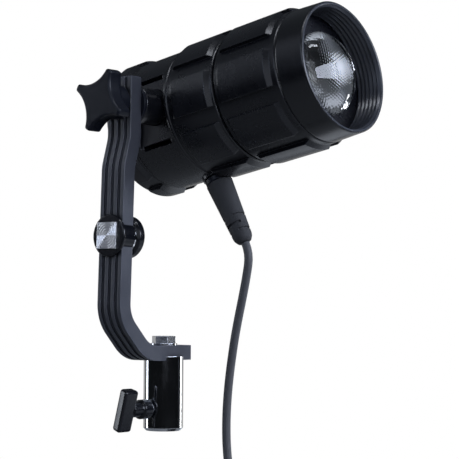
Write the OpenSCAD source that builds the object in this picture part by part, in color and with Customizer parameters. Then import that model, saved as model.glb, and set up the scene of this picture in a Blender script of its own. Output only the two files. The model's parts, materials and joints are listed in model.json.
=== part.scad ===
// Follow spot on a single-arm yoke, with a stand socket, a star-knob tilt lock and a turning focus ring.
// The origin is the centre of the socket's mouth, +Z is up, the yoke's bends lie in the XZ plane
// and the beam leaves towards -Y, tilted up.

/* [Stand socket] */
// Outside diameter of the stand socket
socket_d = 25; // [23:0.5:32]
// Bore that takes the stand's spigot
bore_d = 16.2; // [14:0.1:18]
// Depth of the bore
bore_depth = 36; // [28:0.5:38]
// Chamfer round the socket's mouth
socket_chamfer = 1.8; // [0.5:0.1:2.5]
// Height of the clamp screw above the socket's mouth
clamp_z = 14; // [12:0.5:24]
// Thread diameter of the clamp screw
clamp_thread = 6; // [5:0.5:8]
// Length of screw that shows between the socket and the handle
clamp_show = 2.4; // [1:0.1:6]

/* [Clamp handle] */
// Length of the handle's cross bar
handle_len = 26; // [20:0.5:36]
// Depth of the cross bar along the screw
handle_depth = 11.5; // [8:0.5:16]
// Thickness of the cross bar
handle_t = 6.4; // [5:0.1:9]
// Corner radius of the cross bar
handle_round = 3; // [1:0.1:3.8]
// Diameter of the handle's hub
handle_hub_d = 12; // [10:0.5:16]
// Length of the handle's hub
handle_hub_len = 15; // [8:0.5:20]
// Turn of the cross bar from upright
handle_turn = 15; // [-90:1:90]

/* [Yoke bar] */
// Width of the ribbed bar
bar_w = 19; // [16:0.5:22]
// Thickness of the bar
bar_t = 9.2; // [7:0.1:11]
// Height of the foot's underside above the socket's mouth
foot_z = 44; // [42:0.5:52]
// How far the foot runs past the socket's axis
foot_end = 15.2; // [14:0.1:24]
// Depth of the seat in the foot that takes the socket's top
seat_depth = 2.5; // [1:0.1:4]
// Distance from the socket's axis to the corner where the foot turns up
foot_turn_x = 26.5; // [22:0.5:32]
// Distance from the socket's axis to the bar's outer face at the lower bend
reach_low = 50.6; // [48:0.2:58]
// Distance to the outer face below the jog
reach_mid = 47.4; // [46:0.2:54]
// Distance to the outer face at the tilt axis
reach_top = 42.3; // [40:0.1:46]
// Rise from the foot's underside to the corner of the lower bend
bend_rise = 24.8; // [18:0.2:32]
// Drop from the tilt axis to the lower corner of the jog
jog_low = 39; // [34:0.5:46]
// Drop from the tilt axis to the upper corner of the jog
jog_high = 21; // [16:0.5:27]
// Rise of the bar's top above the tilt axis
arm_over = 16; // [13:0.5:22]
// Outer radius of the bends
bend_r = 26; // [20:0.5:30]
// Number of ribs on the outer face
rib_count = 4; // [3:1:6]
// Width of the grooves between the ribs
groove_w = 2.8; // [1.5:0.1:3]
// Depth of the grooves
groove_depth = 1.2; // [0.6:0.1:2]

/* [Foot bolt] */
// Thread diameter of the foot bolt
bolt_thread = 8; // [6:0.5:10]
// Width of the bolt head across its flats
bolt_flats = 13; // [11:0.5:17]
// Height of the bolt head
bolt_head_h = 4.5; // [3:0.1:7]
// Diameter of the bolt's washer
washer_d = 17; // [16:0.5:22]
// Thickness of the bolt's washer
washer_t = 1.2; // [0.8:0.1:2.5]

/* [Side boss] */
// Height of the boss above the socket's mouth
boss_z = 120.4; // [105:0.1:135]
// Diameter of the boss's flange
boss_flange_d = 26; // [24:0.5:30]
// Thickness of the flange
boss_flange_t = 2.4; // [1.6:0.1:4]
// Diameter of the cheeks that wrap the bar
boss_cheek_d = 23.2; // [22:0.2:28]
// Side of the square bolt head
square_side = 16; // [12:0.5:18]
// Thickness of the square bolt head
square_t = 1.6; // [1:0.1:3]
// Thread diameter of the boss bolt
boss_thread = 8; // [6:0.5:10]
// Diameter of the bright washer
boss_washer_d = 22.8; // [18:0.2:25]
// Thickness of the bright washer
boss_washer_t = 1.4; // [0.8:0.1:2]
// Diameter of the hand nut
nut_d = 26; // [20:0.5:32]
// Thickness of the hand nut
nut_t = 7; // [6:0.2:12]

/* [Tilt lock] */
// Height of the tilt axis above the socket's mouth
pivot_z = 202; // [193:0.5:218]
// Thread diameter of the pivot bolt
pivot_thread = 8; // [6:0.5:10]
// Tip diameter of the star knob
star_d = 40; // [38:0.5:48]
// Thickness of the star knob
star_t = 10.5; // [8:0.5:16]
// Number of lobes on the star knob
star_lobes = 4; // [3:1:5]
// Radius of the scallops between the lobes
scallop_r = 20.6; // [16:0.2:26]
// Radius of the star at the bottom of its scallops
scallop_floor = 11.4; // [11:0.1:14]
// Turn of the star knob at rest
star_turn = 27; // [0:0.5:90]
// Diameter of the knob's hub
star_hub_d = 21; // [18:0.5:24]
// Length of the knob's hub
star_hub_len = 7.4; // [4:0.1:10]
// Diameter of the knob's washer
knob_washer_d = 18; // [14:0.5:20]
// Thickness of the knob's washer
knob_washer_t = 1.5; // [1:0.1:3]
// Diameter of the friction washer and of the hub's face
hub_face_d = 25; // [22:0.5:30]
// Thickness of the hub's face disc
hub_face_t = 5; // [3:0.2:8]
// Thickness of the friction washer
friction_t = 2; // [1:0.1:3]
// Diameter of the hub's neck
hub_neck_d = 22.4; // [21.6:0.2:24]

/* [Head] */
// Distance of the head's axis from the socket's axis
head_x = 26.5; // [24:0.5:34]
// Drop from the tilt axis to the barrel's axis
axis_drop = 2.95; // [0:0.05:5]
// Tilt of the beam above level
head_tilt = 10.8; // [0:0.2:30]
// Radius of the barrel
barrel_r = 42; // [40:0.2:44]
// Wall of the barrel
wall = 3; // [2.4:0.1:3.6]
// Height of the grip pads
pad_h = 2.6; // [1:0.1:4]
// Number of grip pads round the barrel
pad_count = 8; // [6:1:9]
// Angle that one pad covers
pad_angle = 31; // [20:1:34]
// Turn of the pads from the top
pad_turn = -2.5; // [-10:0.5:10]
// Length of the sloped end of a pad
pad_slope = 2.8; // [1:0.1:4]
// Station of the rear end, behind the tilt axis
rear_end = 40; // [36:0.5:50]
// Station of the joint between rear cap and housing, behind the tilt axis
cap_joint = 20; // [19:0.5:24]
// Thickness of the rear cap's plate
cap_plate = 3; // [2:0.1:5]
// Length of the cap's spigot inside the housing
cap_spigot = 3; // [2:0.1:3]
// Station of the ridge round the barrel
ridge_at = 14.4; // [14.2:0.1:16]
// Station of the housing's front shoulder
shoulder_at = 52.4; // [50:0.2:56]
// Gap between housing and focus ring
ring_gap = 1.5; // [0.5:0.1:2.5]
// Length of the focus ring
ring_len = 47.5; // [45:0.5:54]
// Length of the hood in front of the focus ring
hood_len = 19.9; // [19.5:0.1:26]
// Loss of radius along the hood
hood_taper = 0.8; // [0:0.1:1.5]
// Number of ridges inside the hood
hood_ridges = 6; // [4:1:8]
// Height of the ridges inside the hood
hood_ridge_h = 1.2; // [0.6:0.1:1.6]

/* [Side recess] */
// Half height of the flat on the arm's side
recess_half = 21; // [18:0.5:24]
// Rear end of the flat, behind the tilt axis
recess_back = 15.5; // [14:0.1:16]
// Front end of the flat
recess_front = 12.6; // [12.4:0.1:13]
// Depth of the hub's pocket below the flat
pocket_depth = 5; // [3:0.2:6]
// Wall behind the pocket
pocket_wall = 3; // [2:0.2:5]
// Width of the vent slots
vent_w = 3.2; // [2:0.1:4]
// Angle of the vent slots above and below the side
vent_angle = 30; // [26:1:40]
// Rear and front end of the vent slots
vent_back = 13; // [8:0.5:14]
vent_front = 10; // [6:0.5:12]

/* [Lens] */
// Radius of the lens's dome at its foot
dome_r = 26; // [22:0.1:28]
// Height of the lens's dome
dome_h = 14.8; // [10:0.1:15]
// Height of the straight edge between the lens's rim and its dome
lens_edge_h = 4.2; // [2:0.1:4.4]
// Width of the lens's rim outside the dome
lens_rim_w = 1.4; // [1:0.1:2]
// Thickness of the lens's rim
lens_rim_t = 2.3; // [1.5:0.1:3.5]
// Wall of the lens cell in front of and behind the lens
cell_lip = 1.4; // [1:0.1:2]

/* [Focus] */
// Wall of the housing's front tube
tube_wall = 2.5; // [2:0.1:3]
// Step from the barrel down to the front tube
tube_step = 5; // [4:0.2:6]
// Length of the front tube
tube_len = 27.6; // [26.6:0.2:30]
// Turn of the focus ring each way
focus_turn = 35; // [20:1:40]
// Travel of the lamp each way
lamp_travel = 8; // [5:0.5:8]
// Diameter of the cam pin
pin_d = 4; // [3:0.1:5]
// Length of the lamp carriage
carriage_len = 14; // [12:0.5:16]
// Wall of the lamp carriage
carriage_wall = 2.8; // [2:0.1:4]
// Radius of the reflector's mouth
mouth_r = 29.5; // [26:0.5:30]
// Radius of the reflector's neck
neck_r = 8.5; // [7.5:0.5:10]
// Depth of the reflector
reflector_depth = 24; // [20:0.5:25]
// Wall of the reflector
reflector_wall = 1.2; // [0.8:0.1:1.6]
// Radius of the lamp's glass
lamp_r = 5.5; // [4:0.1:6]
// Wall of the heat shield
shield_wall = 0.8; // [0.6:0.1:1.5]

/* [Cable] */
// Station of the gland on the barrel's underside
gland_at = 12.6; // [11.6:0.2:14]
// Forward lean of the gland
gland_lean = 18.4; // [16:0.2:22]
// Diameter of the gland nut
gland_d = 16.6; // [14:0.2:18]
// Length of the gland nut
gland_len = 4; // [3:0.2:6]
// Diameter of the strain relief at the gland
boot_d = 17.2; // [14:0.2:18]
// Diameter of the strain relief near its end
boot_end_d = 12.6; // [10:0.2:14]
// Length of the strain relief
boot_len = 43.6; // [40:0.2:43.6]
// Diameter of the cord
cord_d = 5.4; // [4:0.1:6]

/* [Hidden] */
$fn = 96;

// Clearances: faces that lie on each other, a screw in its thread, a running shaft, a piece in its seat
slip = 0.2;
thread_gap = 0.06;
run_gap = 0.1;
seat_gap = 0.05;
// Overshoot of a cut past the face that it leaves
cut = 1;
// Small edge break on turned pieces
edge = 0.6;
// Sink of a raised feature into its base
bite = 1;
pad_sink = bite * pad_slope / pad_h;
// Turn of a pad-bearing barrel's seam, so that it falls between two pads
seam_turn = 90 + pad_turn + 180 / pad_count;

// Yoke
foot_top = foot_z + bar_t;
socket_h = foot_z + seat_depth;
arm_in_x = bar_t - reach_top;
lower_corner = [-reach_low, foot_z + bend_rise];
jog_corner = [-reach_mid, pivot_z - jog_low];
lean = atan2(jog_corner[0] - lower_corner[0], jog_corner[1] - lower_corner[1]);
boss_x = lower_corner[0] + (boss_z - lower_corner[1]) * tan(lean);
bar_corners = [[foot_end, foot_z], [-foot_turn_x, foot_z], lower_corner, jog_corner,
    [-reach_top, pivot_z - jog_high], [-reach_top, pivot_z + arm_over]];
rib_w = (bar_w - (rib_count - 1) * groove_w) / rib_count;
// Step of the washer and hand nut along the boss's axis, from the bar's outer face
boss_washer_at = bar_t + seat_gap;
nut_at = boss_washer_at + boss_washer_t + slip;
nut_bevel = 1.6;
// Height of a blind thread's floor above the end of its screw
thread_floor = 2;

// Tilt lock, along X from the head towards the knob
side_flat = sqrt(barrel_r * barrel_r - recess_half * recess_half);
pocket_floor = side_flat - pocket_depth;
pocket_back = pocket_floor - pocket_wall;
hub_len = head_x - pocket_floor - arm_in_x - friction_t - slip;
hub_screw_r = 1.1;
hub_screw_circle = hub_neck_d / 2 - 2;
hub_screw_head_r = 1.9;
hub_screw_head_h = 2.2;
hub_screw_bite = 8;
pivot_head_h = 5.3;
pivot_flats = 13;
pivot_head_r = pivot_flats / 2 / cos(30);
shield_r = pocket_back - pivot_head_h - 0.6;
knob_washer_x = -reach_top;
star_x = knob_washer_x - knob_washer_t - slip;
star_out = star_hub_len + star_t;
insert_r = pivot_thread / 2 + 2.4;
star_cap = 2.5;

// Head stations along the beam, from the point of the barrel's axis that lies below the tilt axis
axis_back = axis_drop * tan(head_tilt);
bore_r = barrel_r - wall;
tube_r = barrel_r - tube_step;
tube_in = tube_r - tube_wall;
ring_back = shoulder_at + ring_gap;
ring_front = ring_back + ring_len;
hood_front = ring_front + hood_len;
tube_front = shoulder_at + tube_len;
ring_bore = tube_r + run_gap;
ring_cavity = ring_bore + 2.1;
snap_t = 1.6;
snap_at = tube_front - 2.6 - snap_t;
snap_groove = 1.1;
pin_at = ring_back + lamp_travel + pin_d / 2;
pin_out = ring_cavity;
cam_floor = ring_cavity + 0.4;
// Sine path of the cam's flat groove, set against the straight path of the coupling
cam_sine = 1.045;
cam_rate = lamp_travel / (focus_turn * PI / 180);
cam_slope = atan(cam_sine * cam_rate / (ring_bore + 1));
cam_play = 0.7;
cam_over = 7;
carriage_r = tube_in - run_gap;
carriage_back = pin_at - carriage_len / 2;
web_t = 2.5;
reflector_back = carriage_back + web_t;
// Parabola of the reflector, r^2 = curve * (u - vertex)
curve = (mouth_r * mouth_r - neck_r * neck_r) / reflector_depth;
vertex = reflector_back - neck_r * neck_r / curve;
reflector_steps = 14;
reflector_flange = 3.5;
holder_r = neck_r - 0.5;
holder_len = 17;
lamp_len = 20;
shield_back = cap_plate - rear_end + seat_gap;
shield_front = carriage_back - lamp_travel - holder_len - 0.5;

// Terminal block on the floor of the housing
block_w = 20;
block_h = 8;
block_len = 12;
block_hole_r = 1.6;
block_y = -sqrt(bore_r * bore_r - block_w * block_w / 4) + seat_gap;

// Lens, cell and hood
lens_r = dome_r + lens_rim_w;
cell_r = ring_cavity - seat_gap;
cell_front = ring_front + 1.8;
lens_front = cell_front - cell_lip;
lens_back = lens_front - lens_rim_t;
dome_foot = lens_front + lens_edge_h;
dome_steps = 16;
retainer_t = 1.8;
cell_back = lens_back - seat_gap - retainer_t;
hood_base_r = ring_cavity;
hood_in = hood_base_r - 0.3;
hood_step = (hood_front - cell_front - seat_gap - edge) / hood_ridges;

// Gland, along its own axis from the barrel's surface
boss_face = 0.8;
boss_depth = 5;
gland_stem_r = 5.4;
gland_hole_r = 3.2;
boot_at = boss_face + gland_len + 2 * seat_gap;
boot_tip = boot_at + boot_len;
boot_nose = 4.6;
boot_nose_r = 3.4;

// Cord: route of the part that hangs free, from the strain relief down to the coil
cord_route = [[26.5, -44.08, 117.42], [26.5, -45.4, 114.5], [26.5, -46.4, 110.8], [26.5, -46.7, 107],
    [26.5, -46.3, 103], [26.5, -44.3, 93], [26.5, -41.7, 82], [26.5, -38.7, 70], [26.5, -36, 58],
    [26.5, -33.8, 46], [26.5, -31.9, 34], [26.5, -30.5, 22], [26.5, -29.7, 10], [26.5, -29.6, -2],
    [26.5, -30.2, -12], [26.5, -31.6, -22], [26.5, -34.6, -28.5], [26.5, -39.2, -33.9]];
cord_sides = 10;
coil_centre = [26.5, -30.6, -70];
coil_r = 30;
coil_half = 8.3;
coil_round = 2.6;
tie_wall = 1.4;
tie_gap = 0.15;
tie_angle = 18;
tie_at = 40;
tail_route = [[31.9, -66, -72], [31.9, -66, -82], [31.9, -66, -92]];
plug_top = [31.9, -66, -92.05];
plug_boot_len = 16;
plug_boot_r = 6;
plug_shell_r = 7.5;
plug_shell_len = 32;
plug_insert_depth = 9;
plug_pin_r = 1;
plug_pin_circle = 3;
plug_pins = 4;

// Colours
anodised = [0.17, 0.17, 0.19];
satin_black = [0.09, 0.09, 0.1];
moulded_black = [0.12, 0.12, 0.13];
rubber_grey = [0.16, 0.16, 0.17];
bright = [0.82, 0.82, 0.84];
turned_face = [0.76, 0.75, 0.76];
aluminium = [0.72, 0.73, 0.75];
ceramic = [0.9, 0.88, 0.83];
clear = [0.85, 0.9, 0.92, 0.45];

// Vector helpers for outlines in a plane
function unit(v) = v / norm(v);
function right_of(v) = [v[1], -v[0]];
function turn_of(a, b) = asin(a[0] * b[1] - a[1] * b[0]);

// Corner of a polyline moved sideways by d, to the right of its direction
function moved(p, i, d) =
    let(a = i > 0 ? unit(p[i] - p[i - 1]) : unit(p[1] - p[0]),
        b = i < len(p) - 1 ? unit(p[i + 1] - p[i]) : a,
        n = right_of(a) + right_of(b))
    p[i] + n * (2 * d / (n * n));
function offset_line(p, d) = [for (i = [0 : len(p) - 1]) moved(p, i, d)];

// Corner i of a polyline rounded with radius r, as a list of points
function rounded_corner(p, i, r, steps = 10) =
    let(a = unit(p[i] - p[i - 1]), b = unit(p[i + 1] - p[i]), t = turn_of(a, b),
        back = p[i] - a * r * tan(abs(t) / 2),
        centre = back + (t > 0 ? -1 : 1) * right_of(a) * r)
    [for (k = [0 : steps])
        let(w = t * k / steps, v = back - centre)
        centre + [v[0] * cos(w) - v[1] * sin(w), v[0] * sin(w) + v[1] * cos(w)]];

// Line beside the bar's outer face, d inside it, with its bends rounded about the same centres
function bar_line(d) =
    let(p = offset_line(bar_corners, d), last = len(p) - 1)
    concat([p[0]], [for (i = [1 : last - 1]) each rounded_corner(p, i, bend_radius(p, i, d))], [p[last]]);
function bend_radius(p, i, d) =
    let(a = unit(p[i] - p[i - 1]), b = unit(p[i + 1] - p[i]))
    turn_of(a, b) < 0 ? bend_r - d : bend_r - bar_t + d;
function reversed(p) = [for (i = [len(p) - 1 : -1 : 0]) p[i]];

// Band of the bar between two depths below its outer face
module bar_band(from, to, width)
    translate([0, width / 2, 0]) rotate([90, 0, 0]) linear_extrude(width)
        polygon(concat(bar_line(from), reversed(bar_line(to))));

// Frames: each puts its children's Z along the piece's own axis
module head_frame() translate([head_x, 0, pivot_z]) rotate([90 - head_tilt, 0, 0])
    translate([0, -axis_drop, -axis_back]) children();
module gland_frame() head_frame() translate([0, -barrel_r, gland_at]) rotate([90 - gland_lean, 0, 0]) children();
module boss_frame() translate([boss_x, 0, boss_z]) rotate([0, 90 + lean, 0]) children();
module pivot_frame() translate([0, 0, pivot_z]) rotate([0, -90, 0]) children();
module clamp_frame() translate([0, 0, clamp_z]) rotate([0, -90, 0]) children();
module coil_frame() translate(coil_centre) rotate([90, 0, 90]) children();

module turned(points) rotate_extrude() polygon(points);
module barrel(points) rotate([0, 0, seam_turn]) turned(points);
module ring(r_out, r_in, h) difference() {
    cylinder(r = r_out, h = h);
    translate([0, 0, -cut]) cylinder(r = r_in, h = h + 2 * cut);
}
module bevelled_disc(r, h, e) turned([[0, 0], [r - e, 0], [r, e], [r, h - e], [r - e, h], [0, h]]);
module rounded_plate(w, h, r) {
    square([w - 2 * r, h], center = true);
    square([w, h - 2 * r], center = true);
    for (x = [-1, 1], y = [-1, 1]) translate([x * (w / 2 - r), y * (h / 2 - r)]) circle(r = r);
}

// Raised grip pads round a barrel of radius r, between two stations
module grip_pads(r, back, front)
    for (i = [0 : pad_count - 1])
        rotate([0, 0, 90 + pad_turn - pad_angle / 2 + i * 360 / pad_count])
            rotate_extrude(angle = pad_angle)
                polygon([[r - bite, back - pad_sink], [r + pad_h, back + pad_slope],
                    [r + pad_h, front - pad_slope], [r - bite, front + pad_sink]]);

// Stand socket and its clamp screw
module stand_socket() color(bright) difference() {
    turned([[0, 0], [socket_d / 2 - socket_chamfer, 0], [socket_d / 2, socket_chamfer],
        [socket_d / 2, socket_h], [0, socket_h]]);
    translate([0, 0, -cut]) cylinder(d = bore_d, h = bore_depth + cut);
    translate([0, 0, bore_depth - cut]) cylinder(r = bolt_thread / 2 + thread_gap, h = socket_h);
    clamp_frame() cylinder(r = clamp_thread / 2 + thread_gap, h = socket_d);
}

module clamp_handle() color(moulded_black) clamp_frame() translate([0, 0, socket_d / 2 + clamp_show]) {
    turned([[0, 0], [handle_hub_d / 2 - edge, 0], [handle_hub_d / 2, edge],
        [handle_hub_d / 2, handle_hub_len], [0, handle_hub_len]]);
    translate([0, 0, handle_hub_len + handle_depth / 2]) rotate([0, 0, -handle_turn]) rotate([90, 0, 0])
        translate([0, 0, -handle_t / 2]) linear_extrude(handle_t)
            rounded_plate(handle_len, handle_depth, handle_round);
}

module clamp_stud() color(bright) clamp_frame()
    translate([0, 0, bore_d / 2 + slip]) cylinder(d = clamp_thread, h = socket_d / 2 + clamp_show - bore_d / 2 - slip);

// Yoke bar with its ribs, seats and holes
module yoke_bar() color(anodised) difference() {
    bar_band(0, bar_t, bar_w);
    for (i = [0 : rib_count - 2])
        translate([0, (i - (rib_count - 2) / 2) * (rib_w + groove_w), 0]) bar_band(-cut, groove_depth, groove_w);
    translate([0, 0, foot_z - cut]) cylinder(r = socket_d / 2 + seat_gap, h = seat_depth + cut);
    translate([0, 0, foot_z]) cylinder(r = bolt_thread / 2 + slip, h = bar_t + cut);
    boss_frame() translate([0, 0, -cut]) cylinder(r = boss_thread / 2 + slip, h = bar_t + 2 * cut);
    pivot_frame() translate([0, 0, reach_top - bar_t - cut]) cylinder(r = pivot_thread / 2 + run_gap, h = bar_t + 2 * cut);
}

module foot_bolt() color(bright) {
    translate([0, 0, foot_top + washer_t]) cylinder(r = bolt_flats / 2 / cos(30), h = bolt_head_h, $fn = 6);
    translate([0, 0, bore_depth + thread_floor]) cylinder(d = bolt_thread, h = foot_top + washer_t - bore_depth - thread_floor);
}

module foot_washer() color(bright) translate([0, 0, foot_top])
    ring(washer_d / 2, bolt_thread / 2 + slip, washer_t);

// Side boss: a collar round the bar, drawn together by a square-headed bolt and a hand nut
module boss_collar() color(moulded_black) difference() {
    boss_frame() union() {
        translate([0, 0, -boss_flange_t - seat_gap]) bevelled_disc(boss_flange_d / 2, boss_flange_t, edge);
        translate([0, 0, -boss_flange_t / 2]) cylinder(d = boss_cheek_d, h = boss_flange_t / 2 + bar_t);
    }
    boss_frame() translate([-boss_flange_d, -bar_w / 2 - seat_gap, -seat_gap])
        cube([2 * boss_flange_d, bar_w + 2 * seat_gap, 2 * bar_t]);
    boss_frame() translate([0, 0, -boss_flange_t - cut]) cylinder(r = boss_thread / 2 + slip, h = boss_flange_t + 2 * cut);
}

module boss_bolt() color(turned_face) boss_frame() {
    translate([-square_side / 2, -square_side / 2, -boss_flange_t - square_t - 2 * seat_gap])
        cube([square_side, square_side, square_t]);
    translate([0, 0, -boss_flange_t - 3 * seat_gap])
        cylinder(d = boss_thread, h = boss_flange_t + nut_at + nut_t - thread_floor);
}

module boss_washer() color(bright) boss_frame() translate([0, 0, boss_washer_at])
    ring(boss_washer_d / 2, boss_thread / 2 + slip, boss_washer_t);

module boss_nut() color(moulded_black) boss_frame() translate([0, 0, nut_at]) difference() {
    bevelled_disc(nut_d / 2, nut_t, nut_bevel);
    translate([0, 0, -cut]) cylinder(r = boss_thread / 2 + thread_gap, h = nut_t - thread_floor + 2 * cut);
}

// Tilt lock
module knob_washer() color(bright) pivot_frame() translate([0, 0, -knob_washer_x])
    ring(knob_washer_d / 2, pivot_thread / 2 + slip, knob_washer_t);

module star_plan() difference() {
    circle(d = star_d);
    for (i = [0 : star_lobes - 1]) rotate(i * 360 / star_lobes) translate([scallop_floor + scallop_r, 0])
        circle(r = scallop_r);
}

module star_knob() color(moulded_black) pivot_frame() translate([0, 0, -star_x]) difference() {
    union() {
        bevelled_disc(star_hub_d / 2, star_hub_len + bite, edge);
        translate([0, 0, star_hub_len]) rotate([0, 0, 90 - star_turn + 180 / star_lobes])
            intersection() {
                linear_extrude(star_t) star_plan();
                bevelled_disc(star_d / 2, star_t, 2 * edge);
            }
    }
    translate([0, 0, -cut]) cylinder(r = insert_r + seat_gap, h = star_out - star_cap + cut);
}

module star_insert() color(bright) pivot_frame() translate([0, 0, -star_x])
    ring(insert_r, pivot_thread / 2 + thread_gap, star_out - star_cap - seat_gap);

// Lamp housing: barrel with pads, the flat and pocket of the tilt hub, and the front tube
module lamp_housing() color(satin_black) head_frame() difference() {
    union() {
        barrel([[bore_r, -cap_joint], [barrel_r - edge, -cap_joint], [barrel_r, edge - cap_joint],
            [barrel_r, ridge_at - 1.2], [barrel_r + edge, ridge_at - edge], [barrel_r + edge, ridge_at + edge],
            [barrel_r, ridge_at + 1.2], [barrel_r, shoulder_at - edge], [barrel_r - edge, shoulder_at],
            [tube_r, shoulder_at], [tube_r, tube_front], [tube_in, tube_front],
            [tube_in, shoulder_at - wall], [bore_r, shoulder_at - wall]]);
        grip_pads(barrel_r, ridge_at + 4, shoulder_at - 1.6);
        intersection() {
            translate([0, 0, -recess_back - 1.3]) cylinder(r = bore_r + bite, h = recess_back + recess_front + 2.6);
            translate([-side_flat - bite, -barrel_r, -barrel_r]) cube([side_flat + bite - pocket_back, 2 * barrel_r, 2 * barrel_r]);
        }
        translate([0, -barrel_r, gland_at]) rotate([90 - gland_lean, 0, 0])
            translate([0, 0, -boss_depth]) cylinder(d = gland_d + 1.4, h = boss_depth + boss_face);
    }
    translate([-side_flat - barrel_r, -barrel_r, -recess_back]) cube([barrel_r, 2 * barrel_r, recess_back + recess_front]);
    gland_clearance();
    pocket_axis() translate([0, 0, pocket_floor]) cylinder(r = hub_neck_d / 2 + slip, h = barrel_r);
    pocket_axis() cylinder(r = pivot_thread / 2 + slip, h = barrel_r);
    pocket_axis() hub_screw_places() cylinder(r = hub_screw_r + slip, h = barrel_r);
    for (side = [0, 180], a = [-vent_angle, vent_angle]) rotate([0, 0, side + a])
        translate([shield_r + 1, -vent_w / 2, -vent_back]) cube([barrel_r, vent_w, vent_back + vent_front]);
    translate([-pin_d / 2 - run_gap, 0, pin_at - lamp_travel - pin_d / 2 - slip])
        cube([pin_d + 2 * run_gap, barrel_r - wall, 2 * lamp_travel + pin_d + 2 * slip]);
    translate([0, 0, snap_at - seat_gap]) ring(barrel_r, tube_r - snap_groove, snap_t + 2 * seat_gap);
    translate([0, -barrel_r, gland_at]) rotate([90 - gland_lean, 0, 0])
        translate([0, 0, -boss_depth - 2 * cut]) cylinder(r = gland_stem_r + seat_gap, h = boss_depth + boss_face + 3 * cut);
}

module pocket_axis() translate([0, axis_drop, axis_back]) rotate([0, -90, 0]) children();
module hub_screw_places() for (i = [0 : 2]) rotate([0, 0, 30 + i * 120]) translate([hub_screw_circle, 0, 0]) children();
module gland_clearance() translate([0, -barrel_r, gland_at]) rotate([90 - gland_lean, 0, 0])
    translate([0, 0, boss_face]) cylinder(d = gland_d + 2, h = boot_len);

module rear_cap() color(satin_black) head_frame() difference() {
    union() {
        barrel([[0, -rear_end], [barrel_r - 4, -rear_end], [barrel_r, 4 - rear_end], [barrel_r, -cap_joint - edge],
            [barrel_r - edge, -cap_joint - seat_gap], [bore_r - run_gap, -cap_joint - seat_gap],
            [bore_r - run_gap, cap_spigot - cap_joint], [bore_r - wall, cap_spigot - cap_joint],
            [bore_r - wall, cap_plate - rear_end], [0, cap_plate - rear_end]]);
        grip_pads(barrel_r, 4.5 - rear_end, -cap_joint - 1.4);
        translate([0, 0, cap_plate - rear_end - bite]) cylinder(r = shield_r - shield_wall - seat_gap, h = bite + 2);
    }
    translate([0, 0, -rear_end - cut]) cylinder(r = neck_r, h = cut + 1.2);
    for (i = [0 : 11]) rotate([0, 0, i * 30]) translate([neck_r + 3, -vent_w / 2, -rear_end - cut])
        cube([shield_r - shield_wall - neck_r - 5.5, vent_w, cap_plate + 2 + 2 * cut]);
}

module heat_shield() color(aluminium) head_frame() translate([0, 0, shield_back])
    ring(shield_r, shield_r - shield_wall, shield_front - shield_back);

module terminal_block() color(ceramic) head_frame() difference() {
    translate([-block_w / 2, block_y, -block_len / 2]) cube([block_w, block_h, block_len]);
    for (x = [-1, 1]) translate([x * block_w / 4, block_y + block_h / 2, -block_len / 2 - cut])
        cylinder(r = block_hole_r, h = block_len + 2 * cut);
}

module pivot_hub() color(satin_black) head_frame() pocket_axis() translate([0, 0, pocket_floor]) difference() {
    union() {
        cylinder(d = hub_neck_d, h = hub_len);
        translate([0, 0, hub_len - hub_face_t]) bevelled_disc(hub_face_d / 2, hub_face_t, edge);
    }
    translate([0, 0, -cut]) cylinder(r = pivot_thread / 2 + seat_gap, h = hub_len + 2 * cut);
    hub_screw_places() translate([0, 0, -cut]) cylinder(r = hub_screw_r + seat_gap, h = hub_screw_bite + 1 + cut);
}

module pivot_bolt() color(bright) head_frame() pocket_axis() {
    translate([0, 0, pocket_back - pivot_head_h]) cylinder(r = pivot_head_r, h = pivot_head_h, $fn = 6);
    translate([0, 0, pocket_back - bite]) cylinder(d = pivot_thread,
        h = bite + head_x - pocket_back - star_x + star_out - star_cap - thread_floor);
}

module hub_screws() color(bright) head_frame() pocket_axis() hub_screw_places() {
    translate([0, 0, pocket_back - hub_screw_head_h]) cylinder(r = hub_screw_head_r, h = hub_screw_head_h);
    translate([0, 0, pocket_back - bite]) cylinder(r = hub_screw_r, h = bite + pocket_wall + hub_screw_bite);
}

module friction_washer() color(rubber_grey) head_frame() pocket_axis() translate([0, 0, pocket_floor + hub_len])
    ring(hub_face_d / 2, pivot_thread / 2 + slip, friction_t);

module snap_ring() color(bright) head_frame() translate([0, 0, snap_at])
    ring(ring_cavity - 0.6, tube_r - snap_groove + seat_gap, snap_t);

// Gland and strain relief
module gland_nut() color(moulded_black) gland_frame() difference() {
    union() {
        translate([0, 0, boss_face + seat_gap]) bevelled_disc(gland_d / 2, gland_len, edge);
        translate([0, 0, -boss_depth]) cylinder(r = gland_stem_r, h = boss_depth + boss_face + bite);
    }
    translate([0, 0, -boss_depth - cut]) cylinder(r = gland_hole_r + seat_gap, h = 2 * boss_depth + gland_len + 2 * cut);
}

module strain_relief() color(rubber_grey) gland_frame() turned([[0, -boss_depth], [gland_hole_r, -boss_depth],
    [gland_hole_r, boot_at], [boot_d / 2 - edge, boot_at], [boot_d / 2, boot_at + edge],
    [boot_end_d / 2, boot_tip - boot_nose], [boot_end_d / 2 - 0.9, boot_tip - 2],
    [boot_nose_r + 0.8, boot_tip - 0.4], [boot_nose_r, boot_tip], [0, boot_tip]]);

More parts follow.
